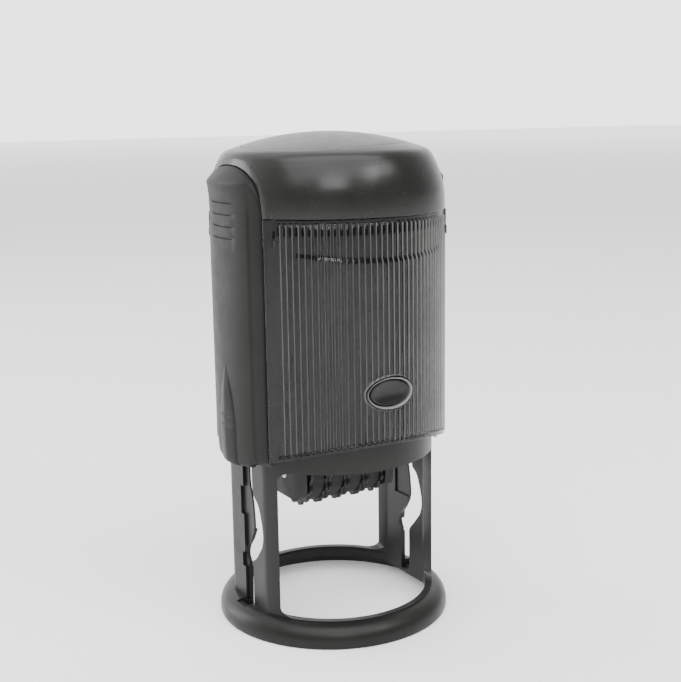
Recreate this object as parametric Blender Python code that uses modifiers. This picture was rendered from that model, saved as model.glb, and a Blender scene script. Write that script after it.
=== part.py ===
"""Round self-inking date stamp: a foot ring with two legs, a sliding cap over it,
and a turning carriage with four date bands.

Frame: metres, +Z up, origin at the centre of the foot ring's bottom rim.
The front window faces -Y and the finger grips lie at +X and -X.
Rest pose: cap up, print face turned up towards the ink pad.
"""
import math

import bmesh
import bpy
from mathutils import Matrix

MM = 0.001

# ---- driving dimensions (metres) ----
GAP = 0.3 * MM
TURN_STEPS = 48
FAR = 40 * MM            # well past the part, for tools that cut right through it
CUT_REACH = 3 * MM       # how far a shallow cut's tool reaches past the wall
SLOT_REACH = 27.6 * MM

# base
RING_R = 32.0 * MM
RING_EDGE_Z = 1.5 * MM
RING_TOP_Z = 6.0 * MM
RING_RIM_R = 30.2 * MM
RING_HOLE_R = 26.0 * MM
RING_CHAMFER = 0.3 * MM
RING_STEPS = 6
TUBE_R = 27.95 * MM
TUBE_FLAT_X = 26.1 * MM
TUBE_WALL = 1.8 * MM
LEG_TOP_Z = 43.0 * MM
TUBE_TOP_Z = 78.6 * MM
OPENING_X = 24.1 * MM
OPENING_TOP_Z = 46.0 * MM
OPENING_CORNER_R = 2.5 * MM
CHANNEL_HALF_Y = 2.5 * MM
CHANNEL_DEPTH = 0.8 * MM
CHANNEL_TOP_Z = 60.0 * MM
NOTCH_REAR_Y = 4.1 * MM
RECESS_DEPTH = 0.5 * MM
RECESS_FRONT_Y = -4.0 * MM
RECESS_REAR_Y = 5.0 * MM
RECESS_LOW_Z = 27.0 * MM
SHELF_Z = 76.2 * MM
SHELF_T = 2.0 * MM
BOSS_R = 7.4 * MM
BOSS_TOP_Z = 83.0 * MM
ARM_SLOT_SIDE = 0.35 * MM
ARM_SLOT_END = 0.6 * MM

# ink pad
PAD_TRAY_R = 22.3 * MM
PAD_FACE_Z = 66.6 * MM
PAD_R = 20.7 * MM

# cap
CAP_R = 31.4 * MM
LINER_R = 29.4 * MM
LINER_IN_R = 28.3 * MM
LINER_TOP_Z = 112.5 * MM
WINDOW_TOP_Z = 111.4 * MM
DOME_EDGE_Z = 113.8 * MM
DOME_CENTRE_R = 21.0 * MM
DOME_RISE = 14.8 * MM
DOME_T = 1.7 * MM
DOME_INNER_STEP = 1.2 * MM
CROWN_TOP_Z = 132.2 * MM
CROWN_RADIUS = 76.5 * MM
INSERT_R = 25.0 * MM
INSERT_T = 1.2 * MM

# grips
GRIP_BOTTOM_Z = 47.5 * MM
GRIP_IN_R = 29.75 * MM
GRIP_HALF_Y = 15.1 * MM
GRIP_SPRING_Z = 111.2 * MM
GRIP_ARCH_RISE = 12.7 * MM
GRIP_CORNER_R = 31.8 * MM
GRIP_CORNER_Z = 120.0 * MM

# windows and cards
WINDOW_PHI = math.radians(59.4)
WINDOW_T = 1.1 * MM
CARD_PHI = math.radians(50.0)
CARD_R = 30.0 * MM
CARD_T = 0.3 * MM
ARCH_MID_Z = 53.7 * MM
ARCH_DROP = 9.6 * MM

# lock buttons
BUTTON_Z = 67.2 * MM
BUTTON_HOLE_W = 12.3 * MM
BUTTON_HOLE_H = 7.2 * MM
COLLAR_W = 14.8 * MM
COLLAR_H = 9.4 * MM
COLLAR_R = 31.85 * MM

# carriage
PIVOT_Z = 50.4 * MM
PRINT_FACE_Z = PIVOT_Z + 12.4 * MM
DIE_R = 22.4 * MM
PIN_R = 2.5 * MM
ARM_IN_X = 22.95 * MM
ARM_T = 1.1 * MM
ARM_HALF_Y = 4.5 * MM
WHEEL_Z = 40.5 * MM
WHEEL_R = 9.5 * MM
WHEEL_PITCH = 5.9 * MM
WHEEL_TEETH = 14
TOOTH_DEPTH = 0.8 * MM
WHEEL_COUNT = 4
HUB_R = 7.5 * MM
BAND_W = 3.7 * MM
BAND_T = 0.7 * MM
BAND_HALF_Y = 3.4 * MM
AXLE_R = 1.5 * MM
CHEEK_IN_X = 12.4 * MM
CHEEK_T = 2.6 * MM

# main spring
SPRING_R = 9.0 * MM
SPRING_WIRE_R = 0.6 * MM
SPRING_TURNS = 6


def clear_scene():
    """Remove every object of the start-up scene."""
    for obj in list(bpy.data.objects):
        bpy.data.objects.remove(obj, do_unlink=True)


def add_collection(name):
    collection = bpy.data.collections.new(name)
    bpy.context.scene.collection.children.link(collection)
    return collection


clear_scene()
PARTS = add_collection("rotary_date_stamp")
CUTTERS = add_collection("cutters")


def material(name, color, roughness, metallic=0.0):
    mat = bpy.data.materials.new(name)
    mat.use_nodes = True
    shader = mat.node_tree.nodes["Principled BSDF"]
    shader.inputs["Base Color"].default_value = (*color, 1.0)
    shader.inputs["Roughness"].default_value = roughness
    shader.inputs["Metallic"].default_value = metallic
    return mat


CHARCOAL = (0.045, 0.045, 0.042)
GRAPHITE = (0.075, 0.075, 0.072)


def link_part(name, mesh, color=CHARCOAL, roughness=0.45, metallic=0.0):
    """Put a mesh into the parts collection with its own material."""
    obj = bpy.data.objects.new(name, mesh)
    PARTS.objects.link(obj)
    mesh.materials.clear()
    mesh.materials.append(material(name + "_finish", color, roughness, metallic))
    mesh.shade_smooth()
    mesh.set_sharp_from_angle(angle=math.radians(30))
    return obj


def link_cutter(name, mesh):
    obj = bpy.data.objects.new(name, mesh)
    CUTTERS.objects.link(obj)
    obj.hide_render = True
    obj.display_type = "WIRE"
    return obj


def boolean(obj, other, operation="DIFFERENCE"):
    mod = obj.modifiers.new(operation.lower(), "BOOLEAN")
    mod.object = other
    mod.operation = operation
    mod.solver = "EXACT"
    return mod


def turn(obj, steps=TURN_STEPS):
    """Turn an edge profile in the XZ plane about Z."""
    mod = obj.modifiers.new("turn", "SCREW")
    mod.axis = "Z"
    mod.steps = steps
    mod.render_steps = steps
    mod.use_merge_vertices = True
    mod.merge_threshold = 0.00001
    return mod


def profile_mesh(name, points, closed=True):
    """An edge-only mesh of (radius, z) points."""
    bm = bmesh.new()
    verts = [bm.verts.new((r, 0.0, z)) for r, z in points]
    for a, b in zip(verts, verts[1:]):
        bm.edges.new((a, b))
    if closed:
        bm.edges.new((verts[-1], verts[0]))
    mesh = bpy.data.meshes.new(name)
    bm.to_mesh(mesh)
    bm.free()
    return mesh


def box_mesh(name, low, high):
    size = [h - l for l, h in zip(low, high)]
    centre = [(l + h) / 2 for l, h in zip(low, high)]
    bm = bmesh.new()
    bmesh.ops.create_cube(bm, size=1.0)
    bmesh.ops.scale(bm, vec=size, verts=bm.verts)
    bmesh.ops.translate(bm, vec=centre, verts=bm.verts)
    mesh = bpy.data.meshes.new(name)
    bm.to_mesh(mesh)
    bm.free()
    return mesh


def rod_mesh(name, radius, low, high, axis="Z", centre=(0.0, 0.0), segments=32):
    """A round rod along Z or X between two stations; centre is its place across it."""
    bm = bmesh.new()
    bmesh.ops.create_cone(
        bm, cap_ends=True, segments=segments, radius1=radius, radius2=radius, depth=high - low
    )
    middle = (low + high) / 2
    if axis == "Z":
        matrix = Matrix.Translation((centre[0], centre[1], middle))
    else:
        matrix = (Matrix.Translation((middle, centre[0], centre[1]))
                  @ Matrix.Rotation(math.pi / 2, 4, "Y"))
    bmesh.ops.transform(bm, matrix=matrix, verts=bm.verts)
    mesh = bpy.data.meshes.new(name)
    bm.to_mesh(mesh)
    bm.free()
    return mesh


# orientation of an extruded outline: its (u, v, depth) mapped on the world axes
PLAN = Matrix.Identity(4)
SIDE = Matrix(((0, 0, 1, 0), (1, 0, 0, 0), (0, 1, 0, 0), (0, 0, 0, 1)))
FRONT = Matrix(((1, 0, 0, 0), (0, 0, -1, 0), (0, 1, 0, 0), (0, 0, 0, 1)))


def outline_mesh(name, loops, low, high, facing=PLAN):
    """Extrude flat outlines (an outer loop and its holes) between two depths."""
    curve = bpy.data.curves.new(name, "CURVE")
    curve.dimensions = "2D"
    curve.fill_mode = "BOTH"
    curve.extrude = (high - low) / 2
    for loop in loops:
        spline = curve.splines.new("POLY")
        spline.points.add(len(loop) - 1)
        for point, (u, v) in zip(spline.points, loop):
            point.co = (u, v, 0.0, 1.0)
        spline.use_cyclic_u = True
    temp = bpy.data.objects.new(name + "_outline", curve)
    CUTTERS.objects.link(temp)
    bpy.context.view_layer.update()
    evaluated = temp.evaluated_get(bpy.context.evaluated_depsgraph_get())
    mesh = bpy.data.meshes.new_from_object(evaluated)
    mesh.name = name
    bpy.data.objects.remove(temp, do_unlink=True)
    bm = bmesh.new()
    bm.from_mesh(mesh)
    bmesh.ops.remove_doubles(bm, verts=bm.verts, dist=0.000001)
    place = facing @ Matrix.Translation((0.0, 0.0, (low + high) / 2))
    bmesh.ops.transform(bm, matrix=place, verts=bm.verts)
    bmesh.ops.recalc_face_normals(bm, faces=bm.faces)
    bm.to_mesh(mesh)
    bm.free()
    return mesh


def circle(radius, count=72, limit_u=None, centre=(0.0, 0.0)):
    """Points on a circle, with flats where |u| would pass limit_u."""
    points = []
    for i in range(count):
        angle = math.tau * (i + 0.5) / count
        u = radius * math.cos(angle)
        if limit_u is not None:
            u = max(-limit_u, min(limit_u, u))
        points.append((centre[0] + u, centre[1] + radius * math.sin(angle)))
    return points


def ellipse(width, height, centre_v, count=32):
    return [(width / 2 * math.cos(math.tau * i / count),
             centre_v + height / 2 * math.sin(math.tau * i / count)) for i in range(count)]


def rounded_rect(u0, u1, v0, v1, radius, steps=4):
    points = []
    corners = ((u1, v0, -90), (u1, v1, 0), (u0, v1, 90), (u0, v0, 180))
    for u, v, start in corners:
        cu = u - radius if u == u1 else u + radius
        cv = v - radius if v == v1 else v + radius
        for i in range(steps + 1):
            angle = math.radians(start + 90 * i / steps)
            points.append((cu + radius * math.cos(angle), cv + radius * math.sin(angle)))
    return points


def smooth_line(points, steps=3):
    """A Catmull-Rom curve through the given points."""
    padded = [points[0]] + list(points) + [points[-1]]
    line = []
    for p0, p1, p2, p3 in zip(padded, padded[1:], padded[2:], padded[3:]):
        for i in range(steps):
            t = i / steps
            line.append(tuple(
                0.5 * (2 * b + (c - a) * t + (2 * a - 5 * b + 4 * c - d) * t * t
                       + (3 * b - a - 3 * c + d) * t ** 3)
                for a, b, c, d in zip(p0, p1, p2, p3)))
    line.append(points[-1])
    return line


# ---- base ----

# rear and front edges of the cam slot in the (Y, Z) plane, top to bottom, in mm
SLOT_FRONT_MM = ((-3.4, 46), (-3.7, 39), (-6.2, 33), (-8.7, 27.5), (-7.4, 22), (-3.6, 18), (-2.5, 15.5))
SLOT_REAR_MM = ((1.9, 46), (1.5, 39), (-0.6, 33.5), (-2.3, 28.5), (0.6, 24.5), (3.2, 22), (3.7, 19), (2.5, 16))
SLOT_BOTTOM_MM = 8.0
# the ring's hollow underside, outside to inside, as (radius, z) in mm
RING_UNDERSIDE_MM = ((29.3, 1.6), (27.4, 3.8), (26.0, 4.8))
NOTCHES_MM = ((30.0, 38.0), (15.0, 19.0))


def slot_outline():
    front = smooth_line(SLOT_FRONT_MM)
    rear = smooth_line(SLOT_REAR_MM)
    top = ((-3.4, 62.0), (1.9, 62.0))
    bottom = ((2.5, SLOT_BOTTOM_MM), (-2.5, SLOT_BOTTOM_MM))
    points = [top[0], top[1]] + rear + list(bottom) + front[::-1]
    return [(y * MM, z * MM) for y, z in points]


def tube_wall(name, low, high):
    """The guide tube's wall between two heights, with flats at its left and right."""
    loops = [circle(TUBE_R, TURN_STEPS, TUBE_FLAT_X),
             circle(TUBE_R - TUBE_WALL, TURN_STEPS, TUBE_FLAT_X - TUBE_WALL)]
    return outline_mesh(name, loops, low, high)


def foot_ring():
    """The flared foot, hollowed underneath so that it stands on its outer rim."""
    overlap = 0.4 * MM
    width = RING_R - TUBE_R + overlap
    rise = RING_TOP_Z - RING_EDGE_Z
    profile = [(RING_HOLE_R, RING_TOP_Z)]
    for i in range(RING_STEPS + 1):
        angle = math.pi / 2 * (1 - i / RING_STEPS)
        profile.append((RING_R - width + width * math.cos(angle),
                        RING_EDGE_Z + rise * math.sin(angle)))
    profile += [(RING_R, RING_CHAMFER), (RING_R - RING_CHAMFER, 0.0), (RING_RIM_R, 0.0)]
    profile += [(r * MM, z * MM) for r, z in RING_UNDERSIDE_MM]
    turn(link_part("foot_ring", profile_mesh("foot_ring", profile)))


def cut_guides(obj, side, slot):
    """Cut a leg's cam slot, its outer channel with two notches, and its inner recess."""
    boolean(obj, slot)
    tag = f"{obj.name}_{'left' if side < 0 else 'right'}"
    face = side * TUBE_FLAT_X
    inner = side * (TUBE_FLAT_X - TUBE_WALL)
    depths = sorted((face - side * CHANNEL_DEPTH, face + side * CUT_REACH))
    channel = link_cutter(tag + "_channel", box_mesh(
        tag + "_channel", (depths[0], -CHANNEL_HALF_Y, RING_TOP_Z),
        (depths[1], CHANNEL_HALF_Y, CHANNEL_TOP_Z)))
    boolean(obj, channel)
    for i, (z0, z1) in enumerate(NOTCHES_MM):
        notch = link_cutter(f"{tag}_notch_{i}", box_mesh(
            f"{tag}_notch_{i}", (depths[0] + 0.05 * MM, CHANNEL_HALF_Y - 0.5 * MM, z0 * MM),
            (depths[1], NOTCH_REAR_Y, z1 * MM)))
        boolean(obj, notch)
    depths = sorted((inner - side * CUT_REACH, inner + side * RECESS_DEPTH))
    recess = link_cutter(tag + "_recess", box_mesh(
        tag + "_recess", (depths[0], RECESS_FRONT_Y, RECESS_LOW_Z),
        (depths[1], RECESS_REAR_Y, CHANNEL_TOP_Z)))
    boolean(obj, recess)


def base_frame():
    """The one moulding that stands on the desk, made as its ring, two legs and guide tube."""
    foot_ring()
    slot = link_cutter("cam_slot", outline_mesh("cam_slot", [slot_outline()],
                                                -SLOT_REACH, SLOT_REACH, SIDE))
    for name, side in (("left_leg", -1), ("right_leg", 1)):
        leg = link_part(name, tube_wall(name, RING_TOP_Z + GAP, LEG_TOP_Z))
        xs = sorted((side * OPENING_X, side * (TUBE_R + CUT_REACH)))
        half = link_cutter(name + "_half", box_mesh(
            name + "_half", (xs[0], -TUBE_R, 0.0), (xs[1], TUBE_R, LEG_TOP_Z + CUT_REACH)))
        boolean(leg, half, "INTERSECT")
        cut_guides(leg, side, slot)
    tube = link_part("guide_tube", tube_wall("guide_tube", LEG_TOP_Z + GAP, TUBE_TOP_Z))
    shelf_loops = [circle(TUBE_R - TUBE_WALL / 2, TURN_STEPS, TUBE_FLAT_X - TUBE_WALL / 2)]
    shelf = link_cutter("pad_shelf_form",
                        outline_mesh("pad_shelf_form", shelf_loops, SHELF_Z, SHELF_Z + SHELF_T))
    boolean(tube, shelf, "UNION")
    boss = link_cutter("spring_boss_form", rod_mesh(
        "spring_boss_form", BOSS_R, SHELF_Z + SHELF_T / 2, BOSS_TOP_Z))
    boolean(tube, boss, "UNION")
    opening = rounded_rect(-OPENING_X, OPENING_X, RING_TOP_Z, OPENING_TOP_Z, OPENING_CORNER_R)
    window = link_cutter("leg_opening", outline_mesh("leg_opening", [opening],
                                                     -FAR, FAR, FRONT))
    boolean(tube, window)
    for side in (-1, 1):
        cut_guides(tube, side, slot)
        xs = sorted((side * (ARM_IN_X - ARM_SLOT_SIDE),
                     side * (TUBE_FLAT_X - TUBE_WALL + 0.1 * MM)))
        arm_slot = link_cutter(f"arm_slot_{side}", box_mesh(
            f"arm_slot_{side}", (xs[0], -ARM_HALF_Y - ARM_SLOT_END, SHELF_Z - 1 * MM),
            (xs[1], ARM_HALF_Y + ARM_SLOT_END, SHELF_Z + SHELF_T + 1 * MM)))
        boolean(tube, arm_slot)


def ink_pad():
    top = SHELF_Z - GAP
    wall = 1.3 * MM
    low = PAD_FACE_Z + 1.0 * MM
    profile = [(0.0, top), (PAD_TRAY_R, top), (PAD_TRAY_R, low), (PAD_TRAY_R - wall, low),
               (PAD_TRAY_R - wall, top - wall), (0.0, top - wall)]
    tray = link_part("pad_tray", profile_mesh("pad_tray", profile, closed=False), GRAPHITE)
    turn(tray)
    link_part("ink_pad", rod_mesh("ink_pad", PAD_R, PAD_FACE_Z, top - wall - GAP, segments=48),
              (0.02, 0.02, 0.03), 0.9)


# ---- cap ----

# the dome's outer shoulder, from the crown's edge down to the upright wall, as (radius, z) in mm
SHOULDER_MM = ((26.4, 127.4), (27.25, 126.65), (28.05, 125.7), (28.75, 124.5), (29.35, 123.3),
               (30.25, 121.2), (30.95, 118.8), (31.3, 116.4), (31.4, 113.8))


def shoulder(inset, start_r, steps):
    """Points down the inside of the shoulder from start_r to the dome's edge height."""
    width = CAP_R - DOME_CENTRE_R - inset
    first = math.acos(min(1.0, (start_r - DOME_CENTRE_R) / width))
    points = []
    for i in range(steps + 1):
        angle = first * (1 - i / steps)
        points.append((DOME_CENTRE_R + width * math.cos(angle),
                       DOME_EDGE_Z + (DOME_RISE - inset) * math.sin(angle)))
    return points


def crown_z(radius):
    return CROWN_TOP_Z - (CROWN_RADIUS - math.sqrt(CROWN_RADIUS ** 2 - radius ** 2))


def crown(drop, end_r, steps=5):
    """Points outward along the shallow crown, lowered by drop."""
    return [(end_r * i / steps, crown_z(end_r * i / steps) - drop) for i in range(steps + 1)]


def arch_low_z(phi):
    """Height of the cap's lower edge at an angle from the front."""
    return ARCH_MID_Z - ARCH_DROP * (1 - math.cos(phi)) if abs(phi) < math.pi / 2 else GRIP_BOTTOM_Z


def arch_cutter():
    """Everything under the arched lower edges at the front and rear."""
    reach = LINER_R * math.sin(WINDOW_PHI) + 0.5 * MM
    steps = 16
    points = [(-reach, 40 * MM)]
    for i in range(steps + 1):
        x = -reach + 2 * reach * i / steps
        phi = math.asin(max(-1.0, min(1.0, x / CAP_R)))
        points.append((x, arch_low_z(phi)))
    points.append((reach, 40 * MM))
    return link_cutter("arched_edge", outline_mesh("arched_edge", [points[::-1]],
                                                   -45 * MM, 45 * MM, FRONT))


def grip_outline(grow=0.0):
    """The round-topped side panel outline in the (Y, Z) plane."""
    half = GRIP_HALF_Y + grow
    rise = GRIP_ARCH_RISE + grow
    steps = 20
    points = [(-half, GRIP_BOTTOM_Z - 4 * grow), (half, GRIP_BOTTOM_Z - 4 * grow)]
    for i in range(steps + 1):
        angle = math.pi * i / steps
        points.append((half * math.cos(angle), GRIP_SPRING_Z + rise * math.sin(angle)))
    return points


def grip_profile(inner_gap, outer):
    """Closed side-panel profile: its outer line, or a line well outside it for cutting."""
    inner = GRIP_IN_R - inner_gap
    low = GRIP_BOTTOM_Z
    if outer:
        low = GRIP_BOTTOM_Z - 2 * MM
        line = [(34 * MM, 127 * MM), (34 * MM, low)]
        top = [(26.4 * MM - inner_gap, 125.2 * MM)]
    else:
        line = [(29.0 * MM, 123.9 * MM), (GRIP_CORNER_R, GRIP_CORNER_Z),
                (CAP_R - 0.1 * MM, 114 * MM), (CAP_R - 0.1 * MM, 60 * MM),
                (CAP_R - 0.2 * MM, 53 * MM), (CAP_R - 0.7 * MM, 49.5 * MM), (CAP_R - 1.4 * MM, low)]
        top = [(27.4 * MM, 123.2 * MM)]
    return top + line + [(inner, low), (inner, 118.0 * MM)]


def add_cap_shell():
    inner_r = LINER_IN_R
    recess_z = crown_z(INSERT_R + GAP) - INSERT_T - GAP
    outer = [(INSERT_R + GAP, recess_z), (INSERT_R + GAP, crown_z(INSERT_R + GAP))]
    outer += [(r * MM, z * MM) for r, z in SHOULDER_MM]
    outer += [(CAP_R, WINDOW_TOP_Z + GAP), (LINER_R, WINDOW_TOP_Z + GAP),
              (LINER_R, GRIP_BOTTOM_Z), (inner_r, GRIP_BOTTOM_Z), (inner_r, LINER_TOP_Z)]
    under = crown(INSERT_T + GAP, INSERT_R + GAP, 3)
    floor_t = 1.5 * MM
    inner = [(r, z) for r, z in shoulder(DOME_T + DOME_INNER_STEP, 22.6 * MM, 4)[::-1][1:]]
    inner += [(r, z - floor_t) for r, z in crown(INSERT_T + GAP, 21.5 * MM, 2)[::-1]]
    profile = under[:-1] + outer + inner
    shell = link_part("cap_shell", profile_mesh("cap_shell", profile, closed=False), CHARCOAL, 0.35)
    turn(shell)
    boolean(shell, arch_cutter())
    pocket = link_cutter("grip_pocket", profile_mesh("grip_pocket", grip_profile(GAP, True)))
    turn(pocket)
    panel = link_cutter("grip_pocket_outline", outline_mesh(
        "grip_pocket_outline", [grip_outline(GAP)], -45 * MM, 45 * MM, SIDE))
    boolean(pocket, panel, "INTERSECT")
    boolean(shell, pocket)
    add_button_holes(shell)
    return shell


def add_button_holes(obj):
    """Cut the two button holes, front and rear, through a wall."""
    hole = bpy.data.objects.get("button_hole")
    if hole is None:
        outline = ellipse(BUTTON_HOLE_W, BUTTON_HOLE_H, BUTTON_Z)
        hole = link_cutter("button_hole", outline_mesh("button_hole", [outline],
                                                       -40 * MM, 40 * MM, FRONT))
    boolean(obj, hole)


def add_top_insert():
    top = crown(0.0, INSERT_R, 5)
    low = crown(INSERT_T, INSERT_R, 3)
    insert = link_part("top_insert", profile_mesh("top_insert", top + low[::-1], closed=False),
                       GRAPHITE, 0.3)
    turn(insert)


def add_grips():
    for name, side in (("left_grip", -1), ("right_grip", 1)):
        grip = link_part(name, profile_mesh(name, grip_profile(0.0, False)), CHARCOAL, 0.5)
        turn(grip)
        depths = sorted((side * 15 * MM, side * 45 * MM))
        panel = link_cutter(name + "_outline", outline_mesh(
            name + "_outline", [grip_outline()], depths[0], depths[1], SIDE))
        boolean(grip, panel, "INTERSECT")
        tongue = bpy.data.meshes.new(name + "_tongue")
        bm = bmesh.new()
        bmesh.ops.create_uvsphere(bm, u_segments=16, v_segments=10, radius=1.0)
        bmesh.ops.scale(bm, vec=(0.95 * MM, 3.6 * MM, 12.0 * MM), verts=bm.verts)
        bmesh.ops.translate(bm, vec=(side * 30.95 * MM, 0.0, 60.0 * MM), verts=bm.verts)
        bm.to_mesh(tongue)
        bm.free()
        boolean(grip, link_cutter(name + "_tongue", tongue), "UNION")


def curved_panel(name, radius, half_phi, low_z, high_z, thickness, rows, color, roughness,
                 rear=False, columns=28):
    """A plate bent about Z; its lower edge follows low_z(phi). It is a bent grid, thickened."""
    bm = bmesh.new()
    bmesh.ops.create_grid(bm, x_segments=columns, y_segments=rows, size=0.5)
    for vert in bm.verts:
        phi = vert.co.x * 2 * half_phi
        low = low_z(phi)
        z = low + (vert.co.y + 0.5) * (high_z - low)
        vert.co = (radius * math.sin(phi), -radius * math.cos(phi), z)
    if rear:
        bmesh.ops.rotate(bm, cent=(0, 0, 0), matrix=Matrix.Rotation(math.pi, 3, "Z"), verts=bm.verts)
    bmesh.ops.recalc_face_normals(bm, faces=bm.faces)
    bm.faces.ensure_lookup_table()
    face = bm.faces[0]
    outward = face.calc_center_median()
    if face.normal.x * outward.x + face.normal.y * outward.y < 0:
        bmesh.ops.reverse_faces(bm, faces=bm.faces)
    mesh = bpy.data.meshes.new(name)
    bm.to_mesh(mesh)
    bm.free()
    panel = link_part(name, mesh, color, roughness)
    solid = panel.modifiers.new("thickness", "SOLIDIFY")
    solid.thickness = thickness
    solid.offset = -1.0
    return panel


def add_windows_and_cards():
    for end, rear in (("front", False), ("rear", True)):
        window = curved_panel(end + "_window", CAP_R, WINDOW_PHI,
                              lambda phi: arch_low_z(phi) + 0.1 * MM, WINDOW_TOP_Z, WINDOW_T,
                              2, (0.12, 0.12, 0.12), 0.15, rear)
        low, high = (-COLLAR_R, -CAP_R + 0.9 * MM) if not rear else (CAP_R - 0.9 * MM, COLLAR_R)
        collar = link_cutter(end + "_collar", outline_mesh(
            end + "_collar", [ellipse(COLLAR_W, COLLAR_H, BUTTON_Z)], -high, -low, FRONT))
        boolean(window, collar, "UNION")
        add_button_holes(window)
        card = curved_panel(end + "_card", CARD_R, CARD_PHI,
                            lambda phi: 57.0 * MM, 109.0 * MM, CARD_T,
                            1, (0.03, 0.03, 0.03), 0.8, rear)
        add_button_holes(card)


def add_lock_buttons():
    slack = 2 * GAP
    for name, side in (("front_lock_button", -1), ("rear_lock_button", 1)):
        depths = sorted((-side * 29.3 * MM, -side * 31.1 * MM))
        outline = ellipse(BUTTON_HOLE_W - slack, BUTTON_HOLE_H - slack, BUTTON_Z)
        button = link_part(name, outline_mesh(name, [outline], depths[0], depths[1], FRONT),
                           (0.02, 0.02, 0.02), 0.4)
        dish = bpy.data.meshes.new(name + "_dish")
        bm = bmesh.new()
        bmesh.ops.create_uvsphere(bm, u_segments=20, v_segments=8, radius=1.0)
        bmesh.ops.scale(bm, vec=(5.0 * MM, 1.0 * MM, 2.7 * MM), verts=bm.verts)
        bmesh.ops.translate(bm, vec=(0.0, side * 31.3 * MM, BUTTON_Z), verts=bm.verts)
        bm.to_mesh(dish)
        bm.free()
        boolean(button, link_cutter(name + "_dish", dish))


def add_arms_and_pins():
    """Carrier arms of the cap, and the pins that hang the carriage in them."""
    low = PIVOT_Z - 4.0 * MM
    top = 123.6 * MM
    steps = 12
    outline = [(ARM_HALF_Y, top), (-ARM_HALF_Y, top)]
    for i in range(steps + 1):
        angle = math.pi + math.pi * i / steps
        outline.append((ARM_HALF_Y * math.cos(angle), low + ARM_HALF_Y * 0.9 * (1 + math.sin(angle))))
    hole = circle(PIN_R + GAP, 24, centre=(0.0, PIVOT_Z))
    for name, side in (("left", -1), ("right", 1)):
        depths = sorted((side * ARM_IN_X, side * (ARM_IN_X + ARM_T)))
        link_part(name + "_arm", outline_mesh(name + "_arm", [outline, hole],
                                              depths[0], depths[1], SIDE), GRAPHITE)
        ends = sorted((side * 20.8 * MM, side * (ARM_IN_X + ARM_T)))
        link_part(name + "_pivot_pin", rod_mesh(
            name + "_pivot_pin", PIN_R, ends[0], ends[1], "X", (0.0, PIVOT_Z), 24),
            (0.5, 0.5, 0.5), 0.3, 1.0)


# ---- carriage ----

def date_hole(name, margin):
    """A rectangular window that the date bands come up through."""
    half_x = WHEEL_PITCH * WHEEL_COUNT / 2 + 0.3 * MM
    half_y = BAND_HALF_Y + margin
    return link_cutter(name, box_mesh(name, (-half_x, -half_y, 50 * MM), (half_x, half_y, 66 * MM)))


def add_carriage():
    die_low = PRINT_FACE_Z - 1.6 * MM
    plate_top = die_low - GAP
    plate_low = plate_top - 1.2 * MM
    deck_top = plate_low - GAP
    deck_low = deck_top - 2.4 * MM
    hole = date_hole("date_hole", 0.9 * MM)
    deck = link_part("carriage_frame", rod_mesh("carriage_frame", DIE_R - 0.3 * MM,
                                                deck_low, deck_top, segments=48), GRAPHITE)
    boolean(deck, date_hole("deck_hole", 2.4 * MM))
    for side in (-1, 1):
        xs = sorted((side * CHEEK_IN_X, side * (CHEEK_IN_X + CHEEK_T)))
        cheek_line = rounded_rect(-8.6 * MM, 8.6 * MM, 34.2 * MM, deck_low + 0.5 * MM, 2.5 * MM)
        cheek = link_cutter(f"cheek_{side}", outline_mesh(
            f"cheek_{side}", [cheek_line], xs[0], xs[1], SIDE))
        boolean(deck, cheek, "UNION")
        xs = sorted((side * (CHEEK_IN_X + CHEEK_T - 0.5 * MM), side * (20.8 * MM - GAP)))
        bracket_line = rounded_rect(-4.5 * MM, 4.5 * MM, PIVOT_Z - 4.0 * MM,
                                    deck_low + 0.5 * MM, 1.5 * MM)
        bracket = link_cutter(f"bracket_{side}", outline_mesh(
            f"bracket_{side}", [bracket_line], xs[0], xs[1], SIDE))
        boolean(deck, bracket, "UNION")
    axle_hole = link_cutter("axle_hole", rod_mesh("axle_hole", AXLE_R + GAP, -20 * MM, 20 * MM,
                                                  "X", (0.0, WHEEL_Z), 20))
    boolean(deck, axle_hole)
    plate = link_part("text_plate", rod_mesh("text_plate", DIE_R - 0.1 * MM, plate_low, plate_top,
                                             segments=48), GRAPHITE)
    boolean(plate, hole)
    die = link_part("rubber_die", rod_mesh("rubber_die", DIE_R, die_low, PRINT_FACE_Z, segments=48),
                    (0.25, 0.03, 0.03), 0.8)
    boolean(die, hole)
    link_part("wheel_axle", rod_mesh("wheel_axle", AXLE_R, -CHEEK_IN_X - CHEEK_T,
                                     CHEEK_IN_X + CHEEK_T, "X", (0.0, WHEEL_Z), 20),
              (0.5, 0.5, 0.5), 0.3, 1.0)
    bridge_line = rounded_rect(-BAND_HALF_Y + 1.1 * MM, BAND_HALF_Y - 1.1 * MM, deck_low,
                               PRINT_FACE_Z - BAND_T - GAP, 1.0 * MM)
    link_part("band_bridge", outline_mesh("band_bridge", [bridge_line],
                                          -CHEEK_IN_X + GAP, CHEEK_IN_X - GAP, SIDE), GRAPHITE)


def toothed_disc(name, low, high):
    """Toothed rim of a setting wheel: a rod along X whose verts step in and out."""
    bm = bmesh.new()
    count = WHEEL_TEETH * 4
    bmesh.ops.create_cone(bm, cap_ends=True, segments=count, radius1=WHEEL_R, radius2=WHEEL_R,
                          depth=high - low)
    for vert in bm.verts:
        step = round((math.atan2(vert.co.y, vert.co.x) % math.tau) / math.tau * count)
        if step % 4 in (0, 3):
            vert.co.xy *= (WHEEL_R - TOOTH_DEPTH) / WHEEL_R
    place = Matrix.Translation(((low + high) / 2, 0.0, WHEEL_Z)) @ Matrix.Rotation(math.pi / 2, 4, "Y")
    bmesh.ops.transform(bm, matrix=place, verts=bm.verts)
    mesh = bpy.data.meshes.new(name)
    bm.to_mesh(mesh)
    bm.free()
    return mesh


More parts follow.
